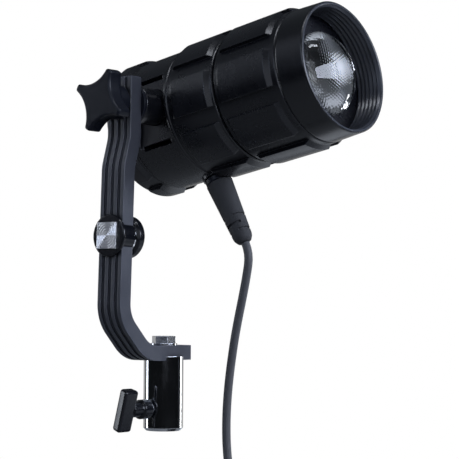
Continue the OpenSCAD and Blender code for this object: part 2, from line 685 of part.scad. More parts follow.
// Focus group: turning ring, hood, lens and its cell
module focus_ring() color(satin_black) head_frame() difference() {
    union() {
        barrel([[ring_bore, ring_back], [barrel_r - edge, ring_back], [barrel_r, ring_back + edge],
            [barrel_r, ring_front - edge], [barrel_r - edge, ring_front], [ring_cavity, ring_front],
            [ring_cavity, snap_at - slip], [ring_bore, snap_at - slip]]);
        grip_pads(barrel_r, ring_back + 2.6, ring_front - 4);
    }
    translate([0, 0, pin_at]) intersection() {
        rotate([0, -cam_slope, 0]) translate([-barrel_r, -barrel_r, -(pin_d + 2 * cam_play) / 2])
            cube([2 * barrel_r, 2 * barrel_r, pin_d + 2 * cam_play]);
        rotate([0, 0, 90 - focus_turn - cam_over]) rotate_extrude(angle = 2 * (focus_turn + cam_over))
            translate([ring_bore - cut, -ring_len]) square([cam_floor - ring_bore + cut, 2 * ring_len]);
    }
}

module lens_hood() color(satin_black) head_frame()
    turned(concat([[hood_base_r, ring_front + seat_gap], [barrel_r - edge, ring_front + seat_gap],
        [barrel_r - 0.3, ring_front + 2 * edge], [barrel_r - 0.3 - hood_taper, hood_front - edge],
        [barrel_r - 0.3 - hood_taper - edge, hood_front], [hood_in, hood_front]],
        [for (i = [hood_ridges - 1 : -1 : 0]) let(at = cell_front + seat_gap + i * hood_step)
            each [[hood_in, at + hood_step], [hood_in - hood_ridge_h, at + hood_step * 0.3], [hood_in, at]]],
        [[hood_base_r, cell_front + seat_gap]]));

module lens_cell() color(moulded_black) head_frame() turned([[lens_r + seat_gap, cell_back], [cell_r, cell_back],
    [cell_r, cell_front], [dome_r + slip, cell_front], [dome_r + slip, lens_front + seat_gap],
    [lens_r + seat_gap, lens_front + seat_gap]]);

module lens() color(clear) head_frame() turned(concat([[0, lens_back], [lens_r, lens_back], [lens_r, lens_front],
    [dome_r, lens_front]], [for (i = [0 : dome_steps - 1]) let(w = 90 * i / dome_steps)
        [dome_r * cos(w), dome_foot + dome_h * sin(w)]], [[0, dome_foot + dome_h]]));

module lens_retainer() color(moulded_black) head_frame() translate([0, 0, cell_back])
    ring(lens_r, dome_r - 1.5, retainer_t);

// Lamp group: slides along the beam inside the housing's front tube
module lamp_carriage() color(aluminium) head_frame() difference() {
    turned([[neck_r + reflector_wall, carriage_back], [carriage_r, carriage_back],
        [carriage_r, carriage_back + carriage_len], [carriage_r - carriage_wall, carriage_back + carriage_len],
        [carriage_r - carriage_wall, carriage_back + web_t], [neck_r + reflector_wall, carriage_back + web_t]]);
    translate([0, 0, pin_at]) rotate([-90, 0, 0]) cylinder(d = pin_d + 2 * seat_gap, h = barrel_r);
}

module cam_pin() color(bright) head_frame() translate([0, 0, pin_at]) rotate([-90, 0, 0])
    translate([0, 0, carriage_r - carriage_wall]) cylinder(d = pin_d, h = pin_out - carriage_r + carriage_wall);

function bowl_r(u) = sqrt(curve * (u - vertex));
module reflector() color(bright) head_frame() let(
    u = [for (i = [0 : reflector_steps]) reflector_back + seat_gap + i * (reflector_depth - seat_gap) / reflector_steps])
    turned(concat([for (k = u) [bowl_r(k), k]],
        [for (i = [reflector_steps : -1 : 1]) [bowl_r(u[i]) + reflector_wall, u[i]]],
        [[neck_r + reflector_flange + 5, u[0] + reflector_wall], [neck_r + reflector_flange + 5, u[0]]]));

module lamp_holder() color(ceramic) head_frame() difference() {
    union() {
        translate([0, 0, carriage_back - holder_len]) cylinder(r = holder_r, h = holder_len + web_t);
        translate([0, 0, carriage_back - 3]) cylinder(r = neck_r + 4, h = 3 - seat_gap);
    }
    translate([-2.6, -4.4, carriage_back - 4]) cube([5.2, 8.8, 4 + web_t + cut]);
}

module lamp_bulb() color(clear) head_frame() {
    translate([-2.5, -4.3, carriage_back - 3.9]) cube([5, 8.6, 3.9 + web_t + 1]);
    translate([0, 0, carriage_back + web_t]) cylinder(r = lamp_r, h = lamp_len - lamp_r);
    translate([0, 0, carriage_back + web_t + lamp_len - lamp_r]) sphere(r = lamp_r);
}

// Round tube along a route that lies in a plane of constant X
function tangent(p, i) = unit(p[min(i + 1, len(p) - 1)] - p[max(i - 1, 0)]);
function tube_points(p, r) = [for (i = [0 : len(p) - 1]) let(b = cross(tangent(p, i), [1, 0, 0]))
    each [for (k = [0 : cord_sides - 1]) let(w = 360 * k / cord_sides)
        p[i] + r * (cos(w) * [1, 0, 0] + sin(w) * b)]];
function side_faces(n) = [for (i = [0 : n - 2], k = [0 : cord_sides - 1])
    let(a = i * cord_sides + k, b = i * cord_sides + (k + 1) % cord_sides)
    each [[a, b, a + cord_sides], [b, b + cord_sides, a + cord_sides]]];
function end_faces(n) = [[for (k = [cord_sides - 1 : -1 : 0]) k],
    [for (k = [0 : cord_sides - 1]) (n - 1) * cord_sides + k]];
module tube(p, r) polyhedron(points = tube_points(p, r), faces = concat(side_faces(len(p)), end_faces(len(p))));

module cord() color(rubber_grey) tube(cord_route, cord_d / 2);
module cord_tail() color(rubber_grey) tube(tail_route, cord_d / 2);

module cord_coil() color(rubber_grey) coil_frame() rotate_extrude() translate([coil_r, 0])
    rounded_plate(2 * coil_half, 2 * coil_half, coil_round);

module coil_tie() color(moulded_black) coil_frame() rotate([0, 0, tie_at - tie_angle / 2])
    rotate_extrude(angle = tie_angle) translate([coil_r, 0]) difference() {
        rounded_plate(2 * (coil_half + tie_gap + tie_wall), 2 * (coil_half + tie_gap + tie_wall), coil_round);
        rounded_plate(2 * (coil_half + tie_gap), 2 * (coil_half + tie_gap), coil_round);
    }

// Connector on the cord's end, hanging down
module plug_frame() translate(plug_top) rotate([180, 0, 0]) children();
module plug_boot() color(rubber_grey) plug_frame() turned([[0, 0], [cord_d / 2 + 1.2, 0],
    [plug_boot_r, plug_boot_len - 2], [plug_boot_r, plug_boot_len], [0, plug_boot_len]]);
module plug_shell() color(aluminium) plug_frame() translate([0, 0, plug_boot_len + seat_gap]) difference() {
    bevelled_disc(plug_shell_r, plug_shell_len, edge);
    translate([0, 0, plug_shell_len - plug_insert_depth - 4]) cylinder(r = plug_shell_r - 1.4, h = plug_insert_depth + 4 + cut);
}
module plug_insert() color(moulded_black) plug_frame()
    translate([0, 0, plug_boot_len + plug_shell_len - plug_insert_depth - 4 + 2 * seat_gap]) difference() {
        cylinder(r = plug_shell_r - 1.4 - seat_gap, h = plug_insert_depth);
        for (i = [0 : plug_pins - 1]) rotate([0, 0, i * 360 / plug_pins]) translate([plug_pin_circle, 0, 2])
            cylinder(r = plug_pin_r, h = plug_insert_depth);
    }

stand_socket();
yoke_bar();
foot_bolt();
foot_washer();
boss_collar();
boss_bolt();
boss_washer();
boss_nut();
knob_washer();
clamp_handle();
clamp_stud();
star_knob();
star_insert();
lamp_housing();
rear_cap();
heat_shield();
terminal_block();
pivot_hub();
pivot_bolt();
hub_screws();
friction_washer();
snap_ring();
gland_nut();
strain_relief();
focus_ring();
lens_hood();
lens_cell();
lens();
lens_retainer();
lamp_carriage();
cam_pin();
reflector();
lamp_holder();
lamp_bulb();
cord();
cord_tail();
cord_coil();
coil_tie();
plug_boot();
plug_shell();
plug_insert();
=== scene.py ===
"""Follow spot on a single-arm yoke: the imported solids, dressed and lit for a studio picture."""
import json
import logging
import math
from dataclasses import dataclass
from enum import Enum
from functools import cache
from typing import ClassVar, Optional, Sequence, Union

import bmesh
import bpy
from bmesh.types import BMEdge, BMesh, BMFace, BMVert
from bpy.types import Material, Node, NodeSocket, NodeTree, Object, World
from mathutils import Matrix, Quaternion, Vector


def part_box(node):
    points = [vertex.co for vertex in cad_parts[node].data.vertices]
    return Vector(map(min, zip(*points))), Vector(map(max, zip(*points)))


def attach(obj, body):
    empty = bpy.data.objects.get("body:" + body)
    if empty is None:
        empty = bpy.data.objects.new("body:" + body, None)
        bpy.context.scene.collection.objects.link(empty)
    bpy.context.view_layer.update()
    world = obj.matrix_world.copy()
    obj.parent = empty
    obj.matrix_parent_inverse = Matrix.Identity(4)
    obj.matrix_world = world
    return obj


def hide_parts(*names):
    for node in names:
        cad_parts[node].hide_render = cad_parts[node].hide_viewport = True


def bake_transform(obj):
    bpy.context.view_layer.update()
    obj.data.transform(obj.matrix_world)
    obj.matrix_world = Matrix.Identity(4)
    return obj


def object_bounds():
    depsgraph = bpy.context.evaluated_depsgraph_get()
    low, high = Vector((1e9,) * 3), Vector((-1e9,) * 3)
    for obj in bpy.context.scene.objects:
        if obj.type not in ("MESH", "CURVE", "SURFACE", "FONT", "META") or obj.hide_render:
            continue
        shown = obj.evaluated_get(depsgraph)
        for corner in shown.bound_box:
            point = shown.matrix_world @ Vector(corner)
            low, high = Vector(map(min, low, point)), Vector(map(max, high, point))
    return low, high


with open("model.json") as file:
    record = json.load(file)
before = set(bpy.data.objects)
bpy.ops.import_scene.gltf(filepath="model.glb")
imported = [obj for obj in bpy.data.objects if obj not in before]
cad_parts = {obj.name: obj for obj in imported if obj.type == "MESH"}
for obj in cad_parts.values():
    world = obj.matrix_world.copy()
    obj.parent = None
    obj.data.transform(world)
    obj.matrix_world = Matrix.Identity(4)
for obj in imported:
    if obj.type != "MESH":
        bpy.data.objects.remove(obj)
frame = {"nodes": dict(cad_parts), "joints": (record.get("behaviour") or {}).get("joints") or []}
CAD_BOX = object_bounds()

LOG = logging.getLogger("follow_spot")
MM = 0.001
MERGE_NEAR = 1e-7
FULL_TURN = 360.0
HALF_TURN = 180.0
QUARTER_TURN = 90.0

Point = tuple[float, float, float]
Colour = tuple[float, float, float]
Span = tuple[float, float]
Outline = list[tuple[float, float]]
Feed = Union[float, Sequence[float], NodeSocket]

WHITE: Colour = (1.0, 1.0, 1.0)


# Frame helpers
def joint(name: str) -> dict:
    """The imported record's joint of that name."""
    return next(j for j in frame["joints"] if j["name"] == name)


@dataclass(frozen=True)
class Axes:
    """A place on the object: a point, the axis that leaves it and the two directions square to it."""

    origin: Vector
    side: Vector
    up: Vector
    along: Vector

    @classmethod
    def leaving(cls, origin: Sequence[float], way: Sequence[float]) -> "Axes":
        """Sets up axes with the frame's X to the side.

        Args:
            origin: The point, in metres.
            way: The direction of the axis that leaves it.

        Returns:
            The axes, with the way as their third direction.
        """
        along = Vector(way).normalized()
        side = Vector((1.0, 0.0, 0.0))
        return cls(Vector(origin), side, along.cross(side), along)

    def matrix(self) -> Matrix:
        """The matrix that carries local points, with local Z along the axis, into the frame."""
        turn = Matrix((self.side, self.up, self.along)).transposed()
        return Matrix.Translation(self.origin) @ turn.to_4x4()


HEAD = Axes.leaving(joint("focus_turn")["pos_m"], joint("focus_turn")["axis"])


# Mesh helpers
def put_in_scene(bm: BMesh, name: str, material: Material, crease: float = 35.0) -> Object:
    """Turns a bmesh into a shown piece.

    Args:
        bm: The finished shape, in the frame's metres; it is freed.
        name: The piece's name.
        material: The finish that covers it.
        crease: The angle in degrees past which an edge stays sharp.

    Returns:
        The new object, at the origin.
    """
    bmesh.ops.recalc_face_normals(bm, faces=bm.faces)
    mesh = bpy.data.meshes.new(name)
    bm.to_mesh(mesh)
    bm.free()
    mesh.shade_smooth()
    mesh.set_sharp_from_angle(angle=math.radians(crease))
    mesh.materials.append(material)
    piece = bpy.data.objects.new(name, mesh)
    bpy.context.scene.collection.objects.link(piece)
    return piece


def weigh_normals(piece: Object) -> None:
    """Keeps a piece's flat faces flat beside its rounded edges."""
    weighted = piece.modifiers.new("weighted_normals", "WEIGHTED_NORMAL")
    weighted.keep_sharp = True


def spun(profile: Sequence[Span], axes: Axes, steps: int) -> BMesh:
    """Spins a profile round an axis.

    Args:
        profile: Radius and station of each point, in millimetres.
        axes: The axis it turns round.
        steps: The number of steps in the full turn.

    Returns:
        The spun shape, in the frame.
    """
    bm = bmesh.new()
    points = [bm.verts.new((radius * MM, 0.0, station * MM)) for radius, station in profile]
    edges = [bm.edges.new(pair) for pair in zip(points, points[1:])]
    bmesh.ops.spin(bm, geom=points + edges, cent=(0, 0, 0), axis=(0, 0, 1), angle=math.tau,
                   steps=steps, use_merge=True)
    bmesh.ops.remove_doubles(bm, verts=bm.verts, dist=MERGE_NEAR)
    bmesh.ops.transform(bm, matrix=axes.matrix(), verts=bm.verts)
    return bm


def round_edges(bm: BMesh, edges: list[BMEdge], radius: float, steps: int, clamp: bool = False) -> None:
    """Rounds some edges of a shape.

    Args:
        bm: The shape.
        edges: The edges to round.
        radius: How far the rounding reaches on each side, in millimetres.
        steps: The number of faces across each rounded edge.
        clamp: Whether a rounding stops where it would overlap another.
    """
    bmesh.ops.bevel(bm, geom=edges, offset=radius * MM, offset_type="OFFSET", segments=steps, profile=0.5,
                    affect="EDGES", clamp_overlap=clamp, material=-1)


# Node building
class Canvas:
    """Adds nodes to one node tree and wires them."""

    def __init__(self, tree: NodeTree) -> None:
        """Takes the tree that the nodes go into."""
        self.tree = tree

    @classmethod
    def of(cls, owner: Union[Material, World]) -> "Canvas":
        """Empties the node tree of a material or a world.

        Args:
            owner: What the nodes belong to.

        Returns:
            The canvas on its empty tree.
        """
        owner.use_nodes = True
        owner.node_tree.nodes.clear()
        return cls(owner.node_tree)

    def feed(self, socket: NodeSocket, value: Feed) -> None:
        """Links an output to a socket, or sets a plain value on it.

        Args:
            socket: The input.
            value: The output or the value.
        """
        if isinstance(value, NodeSocket):
            self.tree.links.new(value, socket)
        else:
            socket.default_value = value

    def add(self, kind: str, inputs: Optional[dict] = None, **settings: object) -> Node:
        """Adds one node.

        Args:
            kind: The node's type.
            inputs: Values or outputs for its sockets, by name or number.
            **settings: Properties of the node, set before its sockets.

        Returns:
            The new node.
        """
        node = self.tree.nodes.new(kind)
        for name, value in settings.items():
            setattr(node, name, value)
        for key, value in (inputs or {}).items():
            self.feed(node.inputs[key], value)
        return node

    def math(self, operation: str, *terms: Feed) -> NodeSocket:
        """The output of a Math node."""
        return self.add("ShaderNodeMath", dict(enumerate(terms)), operation=operation).outputs[0]

    def vector(self, operation: str, *terms: Feed) -> Node:
        """A Vector Math node."""
        return self.add("ShaderNodeVectorMath", dict(enumerate(terms)), operation=operation)

    def remap(self, value: Feed, span: Span, onto: Span = (0.0, 1.0)) -> NodeSocket:
        """The output of a clamped Map Range node."""
        limits = dict(zip(("From Min", "From Max", "To Min", "To Max"), span + onto))
        return self.add("ShaderNodeMapRange", {"Value": value, **limits}).outputs["Result"]

    def mix(self, factor: Feed, a: Feed, b: Feed) -> NodeSocket:
        """Blends two colours.

        Args:
            factor: The second colour's share.
            a: The first colour.
            b: The second colour.

        Returns:
            The output of a colour Mix node.
        """
        node = self.add("ShaderNodeMix", data_type="RGBA")
        for name, value in (("Factor", factor), ("A", a), ("B", b)):
            kind = "VALUE" if name == "Factor" else "RGBA"
            self.feed(next(s for s in node.inputs if s.name == name and s.type == kind), value)
        return next(s for s in node.outputs if s.type == "RGBA")

    def around(self, centre: Point, axis: Point) -> NodeSocket:
        """Finds the direction round an axis, in the piece's own coordinates.

        Args:
            centre: A point on the axis.
            axis: The axis's direction, of length one.

        Returns:
            A vector square to the axis, as long as the place is far from it.
        """
        place = self.add("ShaderNodeTexCoord").outputs["Object"]
        offset = self.vector("SUBTRACT", place, centre).outputs["Vector"]
        return self.vector("CROSS_PRODUCT", offset, axis).outputs["Vector"]

    def off_axis(self, centre: Point, axis: Point) -> NodeSocket:
        """The distance from an axis, in the piece's own coordinates."""
        return self.vector("LENGTH", self.around(centre, axis)).outputs["Value"]

    def bump(self, height: Feed, depth: float, normal: Optional[NodeSocket] = None) -> NodeSocket:
        """Raises a relief.

        Args:
            height: The height at each place.
            depth: The depth of a height of one, in metres.
            normal: The normal that it lies on, or the surface's own.

        Returns:
            The normal of a Bump node.
        """
        inputs: dict = {"Height": height, "Distance": depth}
        if normal is not None:
            inputs["Normal"] = normal
        return self.add("ShaderNodeBump", inputs).outputs["Normal"]


def rgba(colour: Colour, gain: float = 1.0) -> tuple[float, float, float, float]:
    """A colour with a gain and full alpha."""
    return (colour[0] * gain, colour[1] * gain, colour[2] * gain, 1.0)


class SharedEffect(Enum):
    """Effects that several finishes share, each one shader node group."""

    GRAIN = "surface_grain"
    EDGES = "softened_edges_painted_light"


FINE_NOISE = {"Detail": 3.0, "Roughness": 0.6}
SLOW_NOISE = {"Detail": 4.0, "Roughness": 0.65}
EDGE_SAMPLES = 10
PAINTED_SHADE_SAMPLES = 8
EDGE_HIGHLIGHT_SPAN: Span = (0.98, 0.75)


def new_group(effect: SharedEffect, inputs: Sequence[str], outputs: dict[str, str]) -> Canvas:
    """Makes an empty shader node group.

    Args:
        effect: The effect that the group is named after.
        inputs: Names of its number inputs.
        outputs: Socket type of each output, by name.

    Returns:
        A canvas on the group's tree.
    """
    tree = bpy.data.node_groups.new(effect.value, "ShaderNodeTree")
    for label in inputs:
        tree.interface.new_socket(label, in_out="INPUT", socket_type="NodeSocketFloat")
    for label, kind in outputs.items():
        tree.interface.new_socket(label, in_out="OUTPUT", socket_type=kind)
    return Canvas(tree)


@cache
def grain_group() -> NodeTree:
    """Makes the fine grain and slow mottling of a coated or moulded surface, once.

    Returns:
        The node group.
    """
    canvas = new_group(SharedEffect.GRAIN, ["Scale", "Mottle Scale"],
                       {"Height": "NodeSocketFloat", "Mottle": "NodeSocketFloat"})
    given = canvas.add("NodeGroupInput").outputs
    place = canvas.add("ShaderNodeTexCoord").outputs["Object"]
    fine = canvas.add("ShaderNodeTexNoise", {"Vector": place, "Scale": given["Scale"], **FINE_NOISE})
    slow = canvas.add("ShaderNodeTexNoise", {"Vector": place, "Scale": given["Mottle Scale"], **SLOW_NOISE})
    canvas.add("NodeGroupOutput", {"Height": fine.outputs["Fac"], "Mottle": slow.outputs["Fac"]})
    return canvas.tree


@cache
def edges_group() -> NodeTree:
    """Makes the rounded edge normals, the mask of the painted edge highlight and the ambient-occlusion mask
    of painted shade in recesses, once.

    Returns:
        The node group.
    """
    canvas = new_group(SharedEffect.EDGES, ["Radius", "Reach"], {
        "Normal": "NodeSocketVector", "PaintedHighlight": "NodeSocketFloat", "Unshaded": "NodeSocketFloat"})
    given = canvas.add("NodeGroupInput").outputs
    rounded = canvas.add("ShaderNodeBevel", {"Radius": given["Radius"]}, samples=EDGE_SAMPLES)
    flat = canvas.add("ShaderNodeNewGeometry").outputs["Normal"]
    agree = canvas.vector("DOT_PRODUCT", rounded.outputs["Normal"], flat).outputs["Value"]
    # Painted highlight: where the rounded normal turns away from the flat one, the edge is painted lighter.
    painted_highlight = canvas.remap(agree, EDGE_HIGHLIGHT_SPAN)
    # Painted shade: ambient occlusion marks recesses, which a finish may darken.
    painted_shade_ao = canvas.add("ShaderNodeAmbientOcclusion", {"Distance": given["Reach"]}, samples=PAINTED_SHADE_SAMPLES)
    canvas.add("NodeGroupOutput", {"Normal": rounded.outputs["Normal"], "PaintedHighlight": painted_highlight,
                                   "Unshaded": painted_shade_ao.outputs["AO"]})
    return canvas.tree


# Finishes
@dataclass(frozen=True)
class Ground:
    """A material's canvas with the shared effects that its finish draws on."""

    canvas: Canvas
    grain: Node
    edges: Node


@dataclass(frozen=True)
class Coat:
    """A coated, moulded or plated surface with fine grain and softened edges.

    Grain scales are per metre, and depths and radii are in metres.
    """

    MOTTLE_GAINS: ClassVar[Span] = (0.85, 1.15)
    MOTTLE_SPAN: ClassVar[Span] = (0.3, 0.7)
    UNSHADED_SPAN: ClassVar[Span] = (0.45, 0.95)

    name: str
    colour: Colour
    roughness: float
    metallic: float = 0.0
    specular: float = 0.5
    grain: float = 3000.0
    grain_depth: float = 0.00002
    mottle: float = 60.0
    rough_spread: float = 0.06
    edge_radius: float = 0.0005
    # Gain of the painted highlight along edges.
    edge_highlight_gain: float = 1.6
    # Gain and reach of the painted shade in recesses; a gain of one paints none.
    painted_shade_gain: float = 1.0
    painted_shade_reach: float = 0.003

    def grain_node(self, canvas: Canvas) -> Node:
        """The shared grain at this finish's scales."""
        scales = {"Scale": self.grain, "Mottle Scale": self.mottle}
        return canvas.add("ShaderNodeGroup", scales, node_tree=grain_group())

    def relief(self, on: Ground) -> NodeSocket:
        """The surface's normal, with its grain on its softened edges."""
        return on.canvas.bump(on.grain.outputs["Height"], self.grain_depth, on.edges.outputs["Normal"])

    def shade(self, on: Ground) -> NodeSocket:
        """Colours the surface: mottled, with painted shade in recesses if the finish asks, and a painted
        highlight along edges.

        Args:
            on: The material's canvas and shared effects.

        Returns:
            The colour.
        """
        dark, light = (rgba(self.colour, gain) for gain in self.MOTTLE_GAINS)
        colour = on.canvas.mix(on.grain.outputs["Mottle"], dark, light)
        # Painted shade: recesses found by ambient occlusion are darkened.
        if self.painted_shade_gain < 1.0:
            unshaded_share = on.canvas.remap(on.edges.outputs["Unshaded"], self.UNSHADED_SPAN)
            colour = on.canvas.mix(unshaded_share, rgba(self.colour, self.painted_shade_gain), colour)
        # Painted highlight: the edge mask lightens the colour by the edge gain.
        return on.canvas.mix(on.edges.outputs["PaintedHighlight"], colour, rgba(self.colour, self.edge_highlight_gain))

    def brush(self, on: Ground, shader: Node) -> None:
        """Leaves the highlights round; a finish with tool marks stretches them."""

    @cache
    def material(self) -> Material:
        """Builds the finish as a material, once.

        Returns:
            The material, under the finish's name.
        """
        material = bpy.data.materials.new(self.name)
        canvas = Canvas.of(material)
        reaches = {"Radius": self.edge_radius, "Reach": self.painted_shade_reach}
        on = Ground(canvas, self.grain_node(canvas),
                    canvas.add("ShaderNodeGroup", reaches, node_tree=edges_group()))
        rough = canvas.remap(on.grain.outputs["Mottle"], self.MOTTLE_SPAN,
                             (self.roughness - self.rough_spread, self.roughness + self.rough_spread))
        shader = canvas.add("ShaderNodeBsdfPrincipled", {
            "Base Color": self.shade(on), "Roughness": rough, "Metallic": self.metallic,
            "Specular IOR Level": self.specular, "Normal": self.relief(on)})
        self.brush(on, shader)
        canvas.add("ShaderNodeOutputMaterial", {"Surface": shader.outputs["BSDF"]})
        return material


@dataclass(frozen=True)
class TurnedCoat(Coat):
    """Bare metal faced on a lathe: fine rings round one axis, and highlights that fan out from it."""

    centre: Point = (-0.04885, 0.0, 0.1204)
    axis: Point = (0.99942, 0.0, -0.034)
    ring_pitch: float = 0.0016
    ring_depth: float = 0.0001
    grain_share: float = 0.15
    stretch: float = 1.0

    def relief(self, on: Ground) -> NodeSocket:
        """Raises the turned rings, on softened edges.

        Args:
            on: The material's canvas and shared effects.

        Returns:
            The rings' normal.
        """
        radius = on.canvas.off_axis(self.centre, self.axis)
        rings = on.canvas.math("SINE", on.canvas.math("MULTIPLY", radius, math.tau / self.ring_pitch))
        rough_rings = on.canvas.math("MULTIPLY_ADD", on.grain.outputs["Height"], self.grain_share, rings)
        return on.canvas.bump(rough_rings, self.ring_depth, on.edges.outputs["Normal"])

    def brush(self, on: Ground, shader: Node) -> None:
        """Stretches the highlights across the tool's rings.

        Args:
            on: The material's canvas and shared effects.
            shader: The surface's shader.
        """
        around = on.canvas.around(self.centre, self.axis)
        outward = on.canvas.vector("CROSS_PRODUCT", self.axis, around).outputs["Vector"]
        on.canvas.feed(shader.inputs["Tangent"], on.canvas.vector("NORMALIZE", outward).outputs["Vector"])
        shader.inputs["Anisotropic"].default_value = self.stretch


@dataclass(frozen=True)
class InsideLightCoat(Coat):
    """Paint on a round piece of the head, with a paler colour painted on its inside to stand in for the light
    that falls there.
    """

    inside_light: Colour = WHITE
    inside_light_to: float = 0.04
    seam: float = 0.0003

    def shade(self, on: Ground) -> NodeSocket:
        """Colours the paint outside the seam's radius, and the painted light inside it.

        Args:
            on: The material's canvas and shared effects.

        Returns:
            The colour.
        """
        radius = on.canvas.off_axis(HEAD.origin, HEAD.along)
        inside = on.canvas.remap(radius, (self.inside_light_to - self.seam, self.inside_light_to + self.seam), (1.0, 0.0))
        return on.canvas.mix(inside, super().shade(on), rgba(self.inside_light))


@dataclass(frozen=True)
class DimpledMirror(Coat):
    """Bright reflector metal pressed into small pebbles that spread the beam."""

    pebble: float = 260.0
    pebble_depth: float = 0.00016
    smoothness: float = 0.35

    def relief(self, on: Ground) -> NodeSocket:
        """Raises the pressed pebbles.

        Args:
            on: The material's canvas and shared effects.

        Returns:
            The pebbles' normal.
        """
        place = on.canvas.add("ShaderNodeTexCoord").outputs["Object"]
        inputs = {"Vector": place, "Scale": self.pebble, "Smoothness": self.smoothness}
        cells = on.canvas.add("ShaderNodeTexVoronoi", inputs, feature="SMOOTH_F1")
        return on.canvas.bump(cells.outputs["Distance"], self.pebble_depth)


@dataclass(frozen=True)
class ClearGlass(Coat):
    """Clear moulded glass that lets light through to what is behind it."""

    index: float = 1.52

    @cache
    def material(self) -> Material:
        """Builds the glass as a material, once.

        Returns:
            The material, under the finish's name.
        """
        material = bpy.data.materials.new(self.name)
        canvas = Canvas.of(material)
        waves = canvas.bump(self.grain_node(canvas).outputs["Mottle"], self.grain_depth)
        glass = canvas.add("ShaderNodeBsdfPrincipled", {
            "Base Color": rgba(self.colour), "Roughness": self.roughness, "IOR": self.index,
            "Transmission Weight": 1.0, "Normal": waves})
        clear = canvas.add("ShaderNodeBsdfTransparent", {"Color": rgba(self.colour)})
        path = canvas.add("ShaderNodeLightPath")
        both = canvas.add("ShaderNodeMixShader", {
            0: path.outputs["Is Shadow Ray"], 1: glass.outputs["BSDF"], 2: clear.outputs["BSDF"]})
        canvas.add("ShaderNodeOutputMaterial", {"Surface": both.outputs["Shader"]})
        return material


@dataclass(frozen=True)
class CordJacket(Coat):
    """Extruded rubber jacket with faint streaks along the cord, laid on the cord's own UV map."""

    streaks: float = 26.0
    streaks_along: float = 6.0
    streak_detail: float = 2.0
    streak_depth: float = 0.00012

    def relief(self, on: Ground) -> NodeSocket:
        """Raises the lengthwise streaks over the rubber's grain.

        Args:
            on: The material's canvas and shared effects.

        Returns:
            The jacket's normal.
        """
        place = on.canvas.add("ShaderNodeUVMap").outputs["UV"]
        scale = (self.streaks, self.streaks_along, 1.0)
        drawn = on.canvas.add("ShaderNodeMapping", {"Vector": place, "Scale": scale})
        inputs = {"Vector": drawn.outputs["Vector"], "Scale": 1.0, "Detail": self.streak_detail}
        streak = on.canvas.add("ShaderNodeTexNoise", inputs, noise_dimensions="2D")
        fine = on.canvas.bump(on.grain.outputs["Height"], self.grain_depth)
        return on.canvas.bump(streak.outputs["Fac"], self.streak_depth, fine)


# Each finish's edge gain paints a highlight along its edges.
PAINT = Coat("head_black_paint", (0.0022, 0.0025, 0.0042), 0.28, specular=0.66, grain=4200.0,
             grain_depth=0.0000025, rough_spread=0.03, edge_radius=0.0006, edge_highlight_gain=3.0)
# The hood's paler inside is painted light: it stands in for the light caught by its inner ridges.
HOOD_PAINT = InsideLightCoat("hood_black_paint", (0.003, 0.0033, 0.0045), 0.24, specular=0.65, grain=4200.0,
                       grain_depth=0.000016, rough_spread=0.03, edge_radius=0.0013, edge_highlight_gain=1.5,
                       inside_light=(0.026, 0.028, 0.035))
# The ring's pale inside is partly a bare metal inside and partly painted light, which shows through the lens
# as a bright crescent.
RING_PAINT = InsideLightCoat("ring_black_paint", (0.0022, 0.0025, 0.0042), 0.27, specular=0.56, grain=4200.0,
                       grain_depth=0.0000025, rough_spread=0.03, edge_radius=0.0006, edge_highlight_gain=3.0,
                       inside_light=(0.75, 0.77, 0.8))
# The bar's grooves carry painted shade.
BAR_PAINT = Coat("bar_black_paint", (0.028, 0.03, 0.039), 0.36, specular=0.7, grain=3600.0,
                 grain_depth=0.00002, edge_radius=0.0006, edge_highlight_gain=3.2, painted_shade_gain=0.08)
CHROME = Coat("polished_chrome", (0.78, 0.79, 0.81), 0.07, metallic=1.0, grain_depth=0.000002,
              rough_spread=0.02, edge_radius=0.0004, edge_highlight_gain=1.1)
ZINC = Coat("bright_zinc", (0.80, 0.81, 0.83), 0.24, metallic=1.0, grain=1800.0, grain_depth=0.000008,
            edge_radius=0.0004, edge_highlight_gain=1.1)
STEEL = Coat("zinc_steel", (0.55, 0.56, 0.58), 0.28, metallic=1.0, grain=1800.0, grain_depth=0.00001,
             edge_radius=0.0003, edge_highlight_gain=1.2)
TURNED = TurnedCoat("lathe_turned_steel", (0.9, 0.9, 0.92), 0.4, metallic=1.0, edge_radius=0.0005,
                    edge_highlight_gain=1.1)
PLASTIC = Coat("moulded_black_plastic", (0.003, 0.004, 0.008), 0.36, specular=0.28, grain=2600.0,
               grain_depth=0.00003, edge_radius=0.0009, edge_highlight_gain=1.5)
GLOSS_PLASTIC = Coat("polished_black_plastic", (0.0022, 0.0025, 0.004), 0.2, specular=0.5, grain=2600.0,
                     grain_depth=0.00001, edge_radius=0.0009, edge_highlight_gain=1.5)
RUBBER = Coat("moulded_rubber", (0.022, 0.022, 0.024), 0.7, specular=0.35, grain=1500.0,
              grain_depth=0.00012, edge_radius=0.0004, edge_highlight_gain=1.2)
ALUMINIUM = Coat("spun_aluminium", (0.66, 0.67, 0.69), 0.34, metallic=1.0, grain=2200.0,
                 grain_depth=0.00001, edge_highlight_gain=1.1)
CERAMIC = Coat("glazed_ceramic", (0.72, 0.70, 0.64), 0.55, grain=2600.0, grain_depth=0.00004,
               edge_highlight_gain=1.05)
MIRROR = DimpledMirror("dimpled_reflector", (0.80, 0.80, 0.80), 0.03, rough_spread=0.01, metallic=1.0,
                       edge_highlight_gain=1.0)
LENS_GLASS = ClearGlass("moulded_lens_glass", (0.985, 0.99, 0.985), 0.01, grain_depth=0.00002, mottle=40.0)
BULB_GLASS = ClearGlass("lamp_bulb_glass", (1.0, 0.97, 0.9), 0.02, grain_depth=0.00001)
JACKET = CordJacket("cord_jacket", (0.042, 0.042, 0.046), 0.55, specular=0.45, grain=2400.0,
                    grain_depth=0.00003)


